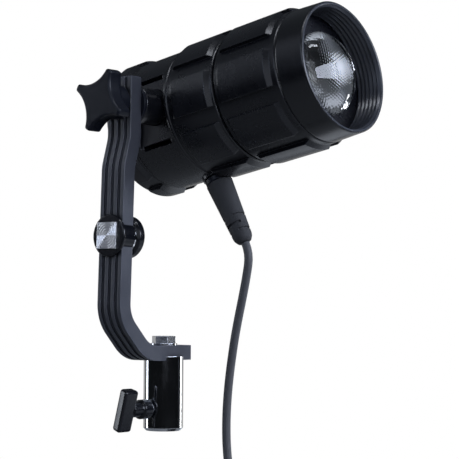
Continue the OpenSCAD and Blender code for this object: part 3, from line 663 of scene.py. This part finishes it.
# Camera
@dataclass(frozen=True)
class StudioCamera:
    """A long lens low on the object's open side."""

    place: Point = (-0.7651, -0.6827, 0.0835)
    forward: Point = (0.7714, 0.6349, 0.0416)
    roll: float = 0.333
    lens: float = 127.64
    sensor: float = 36.0

    def build(self) -> Object:
        """Makes the scene's camera.

        Returns:
            The camera, in use.
        """
        data = bpy.data.cameras.new("studio_camera")
        data.lens = self.lens
        data.sensor_width = self.sensor
        camera = bpy.data.objects.new("studio_camera", data)
        look = Vector(self.forward).to_track_quat("-Z", "Y").to_matrix().to_4x4()
        camera.matrix_world = Matrix.Translation(self.place) @ look @ Matrix.Rotation(
            math.radians(self.roll), 4, "Z")
        bpy.context.scene.collection.objects.link(camera)
        bpy.context.scene.camera = camera
        return camera


# Sub-assemblies
@dataclass(frozen=True)
class SubAssembly:
    """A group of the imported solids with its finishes, and the pieces modelled in the place of some of them.

    Sizes are in millimetres and angles in degrees, except where a field says otherwise.
    """

    finishes: ClassVar[dict[str, Coat]] = {}

    def dress(self) -> None:
        """Puts its finish on each of the group's solids."""
        for name, finish in self.finishes.items():
            node = frame["nodes"][name]
            node.data.materials.clear()
            node.data.materials.append(finish.material())
            LOG.info("dressed %s in %s", name, finish.name)

    def build(self) -> Optional[Object]:
        """Models no piece; a group that has one makes it here."""
        return None


@dataclass(frozen=True)
class Lead(SubAssembly):
    """The lead: it hangs from the boot, then lies in a tied coil, and ends in its connector.

    The end on the yoke is in metres.
    """

    finishes: ClassVar[dict[str, Coat]] = {
        "coil_tie": PLASTIC, "plug_boot": RUBBER, "plug_shell": ALUMINIUM, "plug_insert": PLASTIC}

    radius: float = 2.7
    sides: int = 16
    spacing: float = 3.0
    column: float = 26.5
    hang: tuple[Span, ...] = (
        (-44.08, 117.42), (-45.4, 114.5), (-46.4, 110.8), (-46.7, 107), (-46.3, 103), (-44.3, 93),
        (-41.7, 82), (-38.7, 70), (-36, 58), (-33.8, 46), (-31.9, 34), (-30.5, 22), (-29.7, 10), (-29.6, -2),
        (-30.2, -12), (-31.6, -22), (-34.6, -28.5), (-39.2, -33.9))
    lead_in: float = 12.0
    coil_centre: Span = (-30.6, -70.0)
    coil_start: float = 114.4
    coil_end: float = 180.0
    full_turns: int = 7
    cells: tuple[tuple[int, int], ...] = (
        (1, 0), (1, -1), (0, -1), (-1, -1), (-1, 0), (0, 0), (0, 1), (1, 1))
    coil_middle: float = 30.0
    pitch: float = 5.4
    step_window: float = 100.0
    turn_step: float = 6.0
    tail_foot: float = -92.0
    tail_steps: int = 8
    yoke_end: Point = (0.0265, -0.030, -0.005)
    crease: float = 60.0

    def wound(self) -> float:
        """The angle that the winding goes through, from its start to its end."""
        return self.coil_end + FULL_TURN * self.full_turns - self.coil_start

    def coil_point(self, gone: float) -> Vector:
        """Finds a point of the winding, which eases from one cell of its bundle to the next.

        Args:
            gone: The angle wound since the start.

        Returns:
            The point, in millimetres.
        """
        stay = self.wound() / len(self.cells)
        cell = min(int(gone / stay), len(self.cells) - 1)
        row, column = self.cells[cell]
        left = (cell + 1) * stay - gone
        if left < self.step_window and cell + 1 < len(self.cells):
            ease = 0.5 + 0.5 * math.cos(math.pi * left / self.step_window)
            row += ease * (self.cells[cell + 1][0] - row)
            column += ease * (self.cells[cell + 1][1] - column)
        radius = self.coil_middle + row * self.pitch
        turn = math.radians(self.coil_start + gone)
        return Vector((self.column + column * self.pitch, self.coil_centre[0] + radius * math.cos(turn),
                       self.coil_centre[1] + radius * math.sin(turn)))

    def hang_points(self) -> list[Vector]:
        """Draws the smooth curve through the hanging stretch's points, up to the winding.

        Returns:
            Its points, in millimetres.
        """
        knots = [Vector((self.column, y, z)) for y, z in self.hang]
        knots += [self.coil_point(0.0), self.coil_point(self.lead_in)]
        knots.insert(0, 2 * knots[0] - knots[1])
        points = []
        for before, here, after, later in zip(knots, knots[1:], knots[2:], knots[3:]):
            count = max(1, round((after - here).length / self.spacing))
            for i in range(count):
                t = i / count
                points.append(0.5 * (2 * here + (after - before) * t
                                     + (2 * before - 5 * here + 4 * after - later) * t ** 2
                                     + (3 * here - before - 3 * after + later) * t ** 3))
        return points

    def path(self) -> list[Vector]:
        """Draws the whole centre line: the hanging stretch, the winding and the tail.

        Returns:
            Its points, in metres.
        """
        steps = round(self.wound() / self.turn_step)
        coil = [self.coil_point(self.wound() * i / steps) for i in range(steps + 1)]
        foot = Vector((coil[-1].x, coil[-1].y, self.tail_foot))
        tail = [coil[-1].lerp(foot, i / self.tail_steps) for i in range(1, self.tail_steps + 1)]
        return [point * MM for point in self.hang_points() + coil + tail]

    def tube(self, path: Sequence[Vector]) -> BMesh:
        """Sweeps the jacket's round section along the centre line.

        Args:
            path: The centre line's points.

        Returns:
            The closed tube, with a UV map that runs round it and along it.
        """
        bm = bmesh.new()
        bm.loops.layers.uv.new("along_cord")
        ways = [(b - a).normalized() for a, b in zip(path, path[1:])]
        ways = [ways[0]] + [(a + b).normalized() for a, b in zip(ways, ways[1:])] + [ways[-1]]
        turn = ways[0].to_track_quat("Z", "Y")
        start = Matrix.Translation(path[0]) @ turn.to_matrix().to_4x4()
        made = bmesh.ops.create_circle(bm, segments=self.sides, radius=self.radius * MM, matrix=start)
        ring = made["verts"]
        edges = list({edge for vert in ring for edge in vert.link_edges})
        bm.faces.new(ring)
        run = 0.0
        for last, here, way_in, way_out in zip(path, path[1:], ways, ways[1:]):
            swing = way_in.rotation_difference(way_out)
            turn = swing @ turn
            made = bmesh.ops.extrude_edge_only(bm, edges=edges)["geom"]
            edges = [g for g in made if isinstance(g, BMEdge)]
            fresh = [g for g in made if isinstance(g, BMVert)]
            bmesh.ops.transform(bm, verts=fresh, matrix=(
                Matrix.Translation(here) @ swing.to_matrix().to_4x4() @ Matrix.Translation(-last)))
            self.lay_uv(bm, [g for g in made if isinstance(g, BMFace)], set(fresh), last, here, turn, run)
            run += (here - last).length
        bmesh.ops.edgeloop_fill(bm, edges=edges)
        return bm

    def lay_uv(self, bm: BMesh, faces: Sequence[BMFace], fresh: set[BMVert], last: Vector, here: Vector,
               turn: Quaternion, run: float) -> None:
        """Lays the UV map on one step of the tube.

        Args:
            bm: The tube.
            faces: The step's faces.
            fresh: The points of the step's far end.
            last: The centre of its near end.
            here: The centre of its far end.
            turn: The section's turn there.
            run: The tube's length up to the near end.
        """
        uv = bm.loops.layers.uv.active
        for loop in (loop for face in faces for loop in face.loops):
            far = loop.vert in fresh
            spoke = turn.inverted() @ (loop.vert.co - (here if far else last))
            share = (math.atan2(spoke.y, spoke.x) / math.tau) % 1.0
            loop[uv].uv = (share, run + (here - last).length * far)

    def build(self) -> Object:
        """Makes and places the cord.

        Returns:
            The cord.
        """
        path = self.path()
        piece = put_in_scene(self.tube(path), "lead", JACKET.material(), self.crease)
        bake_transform(piece)
        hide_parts("cord", "cord_coil", "cord_tail")
        return piece


@dataclass(frozen=True)
class FocusGroup(SubAssembly):
    """The turning front with its thick lens.

    The lens has a flange, a straight edge, an elliptical dome and a pebbled back. The pebbles stand in
    rings, with the same number more on each ring than on the last.
    """

    finishes: ClassVar[dict[str, Coat]] = {
        "focus_ring": RING_PAINT, "lens_hood": HOOD_PAINT, "lens_cell": PAINT, "lens": LENS_GLASS,
        "lens_retainer": ALUMINIUM, "snap_ring": STEEL}

    flange_radius: float = 27.4
    flange_back: float = 99.5
    flange_front: float = 101.8
    radius: float = 26.0
    shoulder: float = 106.0
    dome: float = 14.8
    arc_steps: int = 40
    pebble_pitch: float = 1.3
    pebble_rings: int = 17
    pebbles_more: int = 6
    pebble_deep: float = 0.04
    pebble_steps: int = 4
    turn_steps: int = 540
    flat_within: float = 0.01
    crease: float = 50.0

    def profile(self) -> Outline:
        """Draws the lens's outline, from the back's middle to the dome's top.

        Returns:
            Radius and station of each point.
        """
        step = self.pebble_pitch / self.pebble_steps
        points = [(step * i, self.flange_back) for i in range(self.pebble_steps * (self.pebble_rings + 1))]
        points += [(self.flange_radius, self.flange_back), (self.flange_radius, self.flange_front),
                   (self.radius, self.flange_front)]
        for i in range(self.arc_steps + 1):
            turn = 0.5 * math.pi * i / self.arc_steps
            points.append((self.radius * math.cos(turn), self.shoulder + self.dome * math.sin(turn)))
        points[-1] = (0.0, self.shoulder + self.dome)
        return points

    def pebble(self, radius: float, turn: float) -> float:
        """Finds the height of the back's pebbles.

        Args:
            radius: The distance from the lens's axis.
            turn: The angle round it, in radians.

        Returns:
            The height, which is nothing between the pebbles and outside their rings.
        """
        ring = round(radius / self.pebble_pitch)
        if ring > self.pebble_rings:
            return 0.0
        apart = math.tau / max(1, self.pebbles_more * ring)
        aside = (turn + apart * (ring % 2) / 2) % apart
        aside = radius * min(aside, apart - aside)
        off = math.hypot(radius - ring * self.pebble_pitch, aside if ring else 0.0)
        return self.pebble_deep * max(0.0, 1.0 - (2.0 * off / self.pebble_pitch) ** 2)

    def build(self) -> Object:
        """Makes the lens in the place of its solid.

        Returns:
            The lens.
        """
        bm = spun(self.profile(), HEAD, self.turn_steps)
        back = HEAD.matrix().inverted()
        for vert in bm.verts:
            spot = back @ vert.co / MM
            if spot.z < self.flange_back + self.flat_within:
                height = self.pebble(math.hypot(spot.x, spot.y), math.atan2(spot.y, spot.x))
                vert.co -= height * MM * HEAD.along
        piece = put_in_scene(bm, "front_lens", LENS_GLASS.material(), self.crease)
        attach(piece, "focus")
        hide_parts("lens")
        return piece


@dataclass(frozen=True)
class TiltLock(SubAssembly):
    """The tilt pivot and its lock, with a four-lobed knob that has soft edges and a round hub."""

    finishes: ClassVar[dict[str, Coat]] = {
        "star_knob": PLASTIC, "star_insert": STEEL, "knob_washer": STEEL, "friction_washer": PLASTIC,
        "pivot_bolt": STEEL, "pivot_hub": PAINT, "hub_screws": STEEL}
    join_near: ClassVar[float] = 1e-5
    level_within: ClassVar[float] = 1e-6

    lobes: int = 4
    lobe_turn: float = 27.0
    radius: float = 20.0
    scallop_radius: float = 20.6
    scallop_centre: float = 32.0
    scallop_steps: int = 18
    thick: float = 10.5
    hub_radius: float = 10.5
    hub_overlap: float = 2.0
    hub_sides: int = 72
    corner: float = 1.3
    corner_angle: float = 25.0
    rim: float = 1.4
    rim_angle: float = 60.0
    round_steps: int = 4
    crease: float = 40.0

    def plan(self, bm: BMesh) -> BMFace:
        """Draws the star's outline, arc by arc, and fills it.

        Args:
            bm: The empty mesh that it is drawn in.

        Returns:
            The star's face.
        """
        share = math.pi / self.lobes
        reach, far, scoop = self.radius, self.scallop_centre, self.scallop_radius
        half_gap = math.acos((reach ** 2 + far ** 2 - scoop ** 2) / (2 * reach * far))
        half_scoop = math.acos((far ** 2 + scoop ** 2 - reach ** 2) / (2 * far * scoop))
        half_tip = share - half_gap
        for k in range(self.lobes):
            lobe = math.radians(self.lobe_turn) + 2 * share * k
            start = lobe - half_tip
            point = bm.verts.new((reach * MM * math.cos(start), reach * MM * math.sin(start), 0.0))
            tip = bmesh.ops.spin(bm, geom=[point], cent=(0, 0, 0), axis=(0, 0, 1), angle=2 * half_tip,
                                 steps=1)
            between = lobe + share
            pivot = (far * MM * math.cos(between), far * MM * math.sin(between), 0.0)
            bmesh.ops.spin(bm, geom=tip["geom_last"], cent=pivot, axis=(0, 0, 1), angle=-2 * half_scoop,
                           steps=self.scallop_steps)
        bmesh.ops.remove_doubles(bm, verts=bm.verts, dist=self.join_near)
        return bmesh.ops.edgeloop_fill(bm, edges=bm.edges)["faces"][0]

    def star(self) -> BMesh:
        """Raises the star to its thickness and rounds its corners, then its rims.

        Returns:
            The star, lying flat with its axis along Z.
        """
        bm = bmesh.new()
        made = bmesh.ops.extrude_face_region(bm, geom=[self.plan(bm)])["geom"]
        lifted = [g for g in made if isinstance(g, BMVert)]
        bmesh.ops.translate(bm, verts=lifted, vec=(0.0, 0.0, self.thick * MM))
        bm.normal_update()
        upright = [e for e in bm.edges if abs(e.verts[0].co.z - e.verts[1].co.z) > MM
                   and e.calc_face_angle(0.0) > math.radians(self.corner_angle)]
        round_edges(bm, upright, self.corner, self.round_steps, clamp=True)
        rims = [e for e in bm.edges if abs(e.verts[0].co.z - e.verts[1].co.z) < self.level_within
                and e.calc_face_angle(0.0) > math.radians(self.rim_angle)]
        round_edges(bm, rims, self.rim, self.round_steps, clamp=True)
        return bm

    def build(self) -> Object:
        """Makes the knob in the place of its solid.

        Returns:
            The knob.
        """
        low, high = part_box("star_knob")
        pivot = Vector(joint("tilt_knob_turn")["pos_m"])
        bm = self.star()
        depth = high.x - low.x - (self.thick - self.hub_overlap) * MM
        bmesh.ops.translate(bm, verts=bm.verts, vec=(0.0, 0.0, low.x))
        bmesh.ops.create_cone(bm, cap_ends=True, segments=self.hub_sides, radius1=self.hub_radius * MM,
                              radius2=self.hub_radius * MM, depth=depth,
                              matrix=Matrix.Translation((0.0, 0.0, high.x - depth / 2)))
        onto_axis = Matrix(((0, 0, 1, 0), (1, 0, 0, pivot.y), (0, 1, 0, pivot.z), (0, 0, 0, 1)))
        bmesh.ops.transform(bm, matrix=onto_axis, verts=bm.verts)
        piece = put_in_scene(bm, "tilt_star", PLASTIC.material(), self.crease)
        weigh_normals(piece)
        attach(piece, "tilt_knob")
        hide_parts("star_knob")
        return piece


@dataclass(frozen=True)
class StandClamp(SubAssembly):
    """The stand socket and its clamp screw.

    Its T handle is a bar with a slanted outer face on a stepped hub.
    """

    finishes: ClassVar[dict[str, Coat]] = {
        "stand_socket": CHROME, "clamp_stud": STEEL, "clamp_handle": GLOSS_PLASTIC}

    bar_tall: float = 26.4
    bar_deep: float = 12.0
    bar_thick: float = 7.6
    bar_round: float = 1.9
    bar_slant: float = 2.0
    bar_lean: float = 15.0
    bar_overlap: float = 1.0
    round_steps: int = 5
    collar_radius: float = 6.0
    collar_long: float = 7.6
    neck_radius: float = 4.6
    chamfer: float = 0.6
    step_share: float = 0.3
    hub_sides: int = 64
    crease: float = 40.0

    def hub_profile(self, reach: float) -> Outline:
        """Draws the stepped hub's outline.

        Args:
            reach: The hub's length, from the stud into the bar.

        Returns:
            Radius and station of each point.
        """
        collar, neck, cut = self.collar_radius, self.neck_radius, self.chamfer
        foot = neck + self.step_share * (collar - neck)
        return [(0.0, 0.0), (collar - cut, 0.0), (collar, cut), (collar, self.collar_long - cut),
                (collar - cut, self.collar_long), (foot, self.collar_long), (neck, self.collar_long + cut),
                (neck, reach), (0.0, reach)]

    def add_bar(self, bm: BMesh, middle: Vector) -> None:
        """Adds the leaning bar to the hub.

        Args:
            bm: The hub.
            middle: The bar's middle, in metres.
        """
        size = Matrix.Diagonal((self.bar_deep * MM, self.bar_thick * MM, self.bar_tall * MM, 1.0))
        bar = bmesh.ops.create_cube(bm, size=1.0, matrix=size)["verts"]
        for vert in bar:
            if vert.co.x < 0.0 < vert.co.y:
                vert.co.x += self.bar_slant * MM
        lean = Matrix.Rotation(math.radians(self.bar_lean), 4, "X")
        bmesh.ops.transform(bm, matrix=Matrix.Translation(middle) @ lean, verts=bar)
        edges = list({edge for vert in bar for edge in vert.link_edges})
        round_edges(bm, edges, self.bar_round, self.round_steps)

    def build(self) -> Object:
        """Makes the handle in the place of its solid.

        Returns:
            The handle.
        """
        low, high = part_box("clamp_handle")
        axle = Vector(joint("clamp_turn")["pos_m"])
        axes = Axes(Vector((high.x, axle.y, axle.z)), Vector((0, 1, 0)), Vector((0, 0, -1)),
                    Vector((-1, 0, 0)))
        reach = (high.x - low.x) / MM - self.bar_deep + self.bar_overlap
        bm = spun(self.hub_profile(reach), axes, self.hub_sides)
        self.add_bar(bm, Vector((low.x + self.bar_deep * MM / 2, axle.y, axle.z)))
        piece = put_in_scene(bm, "clamp_tee", GLOSS_PLASTIC.material(), self.crease)
        weigh_normals(piece)
        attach(piece, "clamp_screw")
        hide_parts("clamp_handle")
        return piece


@dataclass(frozen=True)
class CableEntry(SubAssembly):
    """Where the lead enters the head: a gland nut, and a tapered rubber boot with flex slots near its end.

    The boot's tip is in metres. Stations count from the tip, and are negative behind it.
    """

    finishes: ClassVar[dict[str, Coat]] = {"gland_nut": PLASTIC, "strain_relief": RUBBER}

    tip: Point = (0.0265, -0.0439, 0.1178)
    way: Point = (0.0, -0.488, -0.873)
    long: float = 43.6
    root_radius: float = 8.6
    root_inset: float = 0.6
    root_step: float = 0.5
    end_radius: float = 6.3
    ring_gap: float = 3.0
    ring_count: int = 7
    nose: float = 4.6
    nose_curve: tuple[Span, ...] = ((0.35, -3.0), (0.9, -2.0), (1.8, -0.6))
    nose_flat: float = 3.4
    slot_rows: tuple[float, ...] = (-17.4, -12.4, -7.6)
    slot_wide: float = 1.7
    slot_deep: float = 1.3
    slot_draft: float = 0.15
    slot_half: float = 62.0
    steps: int = 60
    crease: float = 45.0

    def radius_at(self, station: float) -> float:
        """The taper's radius at a station behind the tip."""
        share = (station + self.long) / (self.long - self.nose)
        return self.root_radius + (self.end_radius - self.root_radius) * share

    def profile(self) -> Outline:
        """Draws the boot's outline, with a ring at each slot's edges.

        Returns:
            Radius and station of each point.
        """
        half = self.slot_wide / 2
        stations = [self.root_step - self.long]
        stations += [self.ring_gap * i - self.long for i in range(1, self.ring_count + 1)]
        stations += [row + edge for row in self.slot_rows for edge in (-half, half)] + [-self.nose]
        points = [(0.0, -self.long), (self.root_radius - self.root_inset, -self.long)]
        points += [(self.radius_at(station), station) for station in stations]
        points += [(self.end_radius - inset, station) for inset, station in self.nose_curve]
        return points + [(self.nose_flat, 0.0), (0.0, 0.0)]

    def build(self) -> Object:
        """Makes the boot in the place of its solid.

        Returns:
            The boot.
        """
        axes = Axes.leaving(self.tip, self.way)
        bm = spun(self.profile(), axes, self.steps)
        back = axes.matrix().inverted()
        bmesh.ops.recalc_face_normals(bm, faces=bm.faces)
        for number, row in enumerate(self.slot_rows):
            slots = []
            for face in bm.faces:
                spot = back @ face.calc_center_median()
                turn = (math.degrees(math.atan2(spot.y, spot.x)) + QUARTER_TURN * number) % HALF_TURN
                in_row = abs(spot.z / MM - row) < self.slot_wide / 2
                if in_row and abs(turn - QUARTER_TURN) < self.slot_half:
                    slots.append(face)
            bmesh.ops.inset_region(bm, faces=slots, thickness=self.slot_draft * MM,
                                   depth=-self.slot_deep * MM, use_even_offset=True)
        piece = put_in_scene(bm, "cable_boot", RUBBER.material(), self.crease)
        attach(piece, "head")
        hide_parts("strain_relief")
        return piece


@dataclass(frozen=True)
class LampHead(SubAssembly):
    """The lamp head's housing and what is fixed in it."""

    finishes: ClassVar[dict[str, Coat]] = {
        "lamp_housing": PAINT, "rear_cap": PAINT, "heat_shield": ALUMINIUM, "terminal_block": CERAMIC}


@dataclass(frozen=True)
class LampCarriage(SubAssembly):
    """The sliding carriage with the lamp and its reflector."""

    finishes: ClassVar[dict[str, Coat]] = {
        "lamp_carriage": ALUMINIUM, "cam_pin": STEEL, "reflector": MIRROR, "lamp_holder": CERAMIC,
        "lamp_bulb": BULB_GLASS}


@dataclass(frozen=True)
class YokeArm(SubAssembly):
    """The ribbed bar with its foot bolt and its mid-arm boss."""

    finishes: ClassVar[dict[str, Coat]] = {
        "yoke_bar": BAR_PAINT, "foot_bolt": ZINC, "foot_washer": CHROME, "boss_collar": GLOSS_PLASTIC,
        "boss_bolt": TURNED, "boss_washer": CHROME, "boss_nut": GLOSS_PLASTIC}


# Studio
@dataclass(frozen=True)
class Softbox:
    """One soft studio lamp, aimed at the head or lying flat and facing up.

    The direction is from the head to the lamp. Sizes and distance are in metres, and the roll is in
    degrees. A lamp that isn't mirrored lights matt surfaces only.
    """

    name: str
    direction: Point
    distance: float
    width: float
    height: float
    radiance: float
    colour: Colour = WHITE
    roll: float = 0.0
    flat: bool = False
    mirrored: bool = True

    def build(self, target: Vector) -> Object:
        """Hangs the lamp.

        Args:
            target: The place that the direction and the distance start from.

        Returns:
            The lamp.
        """
        data = bpy.data.lights.new(self.name, "AREA")
        data.shape = "RECTANGLE"
        data.size, data.size_y = self.width, self.height
        data.energy = math.pi * self.width * self.height * self.radiance
        data.color = self.colour
        lamp = bpy.data.objects.new(self.name, data)
        out = Vector(self.direction).normalized()
        back = Vector((0.0, 0.0, -1.0)) if self.flat else out
        face = back.to_track_quat("Z", "Y").to_matrix().to_4x4()
        face = face @ Matrix.Rotation(math.radians(self.roll), 4, "Z")
        lamp.matrix_world = Matrix.Translation(target + out * self.distance) @ face
        lamp.visible_camera = False
        lamp.visible_glossy = self.mirrored
        lamp.visible_transmission = self.mirrored
        bpy.context.scene.collection.objects.link(lamp)
        return lamp


@dataclass(frozen=True)
class Studio:
    """Pale floor, white surroundings and the lamps.

    Lengths are in metres. The backdrop is the white that metal and glass see behind the object.
    """

    target: Point = (0.011, -0.08, 0.18)
    floor_drop: float = 0.002
    floor_radius: float = 1.15
    floor_sides: int = 96
    floor_colour: Colour = (0.16, 0.16, 0.16)
    floor_lift: float = 0.76
    floor_fade: Span = (0.45, 1.1)
    room_colour: Colour = (0.78, 0.87, 1.0)
    room_light: float = 0.25
    room_gloss: float = 0.006
    sky_gloss: float = 0.1
    sky_heights: Span = (0.15, 0.6)
    backdrop_way: Point = (0.7714, 0.6349, 0.0416)
    backdrop_side: Span = (0.45, 0.8)
    backdrop_top: Span = (0.06, 0.14)
    backdrop_gloss: float = 0.45
    backdrop_glass: float = 0.12
    lamps: tuple[Softbox, ...] = (
        Softbox("front_softbox", (0.145, -0.957, 0.29), 1.5, 1.6, 0.55, 9.0, (0.76, 0.83, 1.0), roll=8.0),
        Softbox("top_strip", (-0.16, -0.28, 0.95), 1.5, 1.2, 0.16, 10.0, (0.86, 0.9, 1.0)),
        Softbox("upper_softbox", (0.396, -0.501, 0.769), 1.5, 1.1, 0.42, 0.35, (0.78, 0.84, 1.0)),
        Softbox("right_strip", (0.94, -0.253, -0.23), 1.65, 0.14, 0.6, 12.0),
        Softbox("right_fill", (0.72, -0.6, 0.22), 1.65, 1.0, 0.4, 36.0, (0.80, 0.88, 1.0), mirrored=False),
        Softbox("left_fill", (-0.45, -0.88, 0.12), 1.65, 1.0, 0.4, 2.5, (0.80, 0.88, 1.0), mirrored=False),
        Softbox("left_softbox", (-0.93, 0.05, 0.36), 1.6, 1.0, 0.8, 2.2, (0.66, 0.77, 1.0)),
        Softbox("back_left_strip", (-0.398, 0.917, 0.05), 1.6, 0.32, 1.4, 4.0, (0.84, 0.9, 1.0)),
        Softbox("back_left_panel", (-0.651, 0.66, 0.375), 1.6, 0.55, 1.2, 0.28, (0.76, 0.82, 1.0)),
        Softbox("floor_reflector", (0.81, 0.10, -0.5), 0.54, 0.5, 0.4, 0.7, (0.84, 0.9, 1.0), flat=True),
        Softbox("camera_fill", (-0.62, -0.75, 0.25), 1.7, 1.2, 1.2, 0.6, (0.80, 0.86, 1.0)),
    )

    def world(self) -> None:
        """Makes the surroundings: white to the camera, a backdrop to metal and glass, and dim elsewhere."""
        world = bpy.data.worlds.new("studio_white")
        canvas = Canvas.of(world)
        path = canvas.add("ShaderNodeLightPath").outputs
        way = canvas.add("ShaderNodeTexCoord").outputs["Generated"]
        behind = canvas.vector("DOT_PRODUCT", way, self.backdrop_way).outputs["Value"]
        height = canvas.add("ShaderNodeSeparateXYZ", {"Vector": way}).outputs["Z"]
        backdrop = canvas.math("MULTIPLY", canvas.remap(behind, self.backdrop_side),
                               canvas.remap(height, self.backdrop_top, (1.0, 0.0)))
        through = path["Is Transmission Ray"]
        bounced = canvas.math("MAXIMUM", path["Is Glossy Ray"], through)
        share = canvas.remap(through, (0.0, 1.0), (self.backdrop_gloss, self.backdrop_glass))
        mirrored = canvas.math("MULTIPLY", canvas.math("MULTIPLY", bounced, share), backdrop)
        seen = canvas.math("MAXIMUM", path["Is Camera Ray"], mirrored)
        gloss = canvas.remap(height, self.sky_heights, (self.room_gloss, self.sky_gloss))
        room = canvas.math("MULTIPLY", path["Is Diffuse Ray"], self.room_light)
        level = canvas.math("MAXIMUM", gloss, room)
        dim = canvas.add("ShaderNodeBackground", {"Color": rgba(self.room_colour), "Strength": level})
        white = canvas.add("ShaderNodeBackground", {"Color": rgba(WHITE), "Strength": 1.0})
        both = canvas.add("ShaderNodeMixShader", {0: seen, 1: dim.outputs[0], 2: white.outputs[0]})
        canvas.add("ShaderNodeOutputWorld", {"Surface": both.outputs[0]})
        bpy.context.scene.world = world

    def floor_material(self) -> Material:
        """Makes the pale matt floor that runs out into the white surroundings.

        Returns:
            The floor's material.
        """
        material = bpy.data.materials.new("pale_floor")
        canvas = Canvas.of(material)
        place = canvas.add("ShaderNodeTexCoord").outputs["Object"]
        flat = canvas.vector("MULTIPLY", place, (1.0, 1.0, 0.0)).outputs["Vector"]
        away = canvas.vector("LENGTH", flat).outputs["Value"]
        matt = canvas.add("ShaderNodeBsdfDiffuse", {"Color": rgba(self.floor_colour)})
        lift = canvas.add("ShaderNodeEmission", {"Color": rgba(WHITE), "Strength": self.floor_lift})
        pale = canvas.add("ShaderNodeAddShader", {0: matt.outputs[0], 1: lift.outputs[0]})
        white = canvas.add("ShaderNodeEmission", {"Color": rgba(WHITE), "Strength": 1.0})
        shown = canvas.add("ShaderNodeMixShader", {
            0: canvas.remap(away, self.floor_fade), 1: pale.outputs[0], 2: white.outputs[0]})
        path = canvas.add("ShaderNodeLightPath").outputs
        both = canvas.add("ShaderNodeMixShader", {
            0: path["Is Camera Ray"], 1: matt.outputs[0], 2: shown.outputs[0]})
        canvas.add("ShaderNodeOutputMaterial", {"Surface": both.outputs[0]})
        return material

    def build(self) -> None:
        """Lays the floor and sets the light."""
        bm = bmesh.new()
        bmesh.ops.create_circle(bm, cap_ends=True, segments=self.floor_sides, radius=self.floor_radius,
                                matrix=Matrix.Translation((0.0, 0.0, CAD_BOX[0].z - self.floor_drop)))
        put_in_scene(bm, "studio_floor", self.floor_material())
        self.world()
        for lamp in self.lamps:
            lamp.build(Vector(self.target))
        bpy.context.scene.view_settings.view_transform = "Standard"


def main() -> None:
    """Builds the sub-assemblies in order and reports each piece."""
    logging.basicConfig(level=logging.INFO, format="%(name)s: %(message)s")
    StudioCamera().build()
    for assembly in (Lead(), FocusGroup(), TiltLock(), StandClamp(), CableEntry(), LampHead(),
                     LampCarriage(), YokeArm()):
        assembly.dress()
        piece = assembly.build()
        if piece:
            LOG.info("built %s, %d faces", piece.name, len(piece.data.polygons))
    Studio().build()


if __name__ == "__main__":
    main()
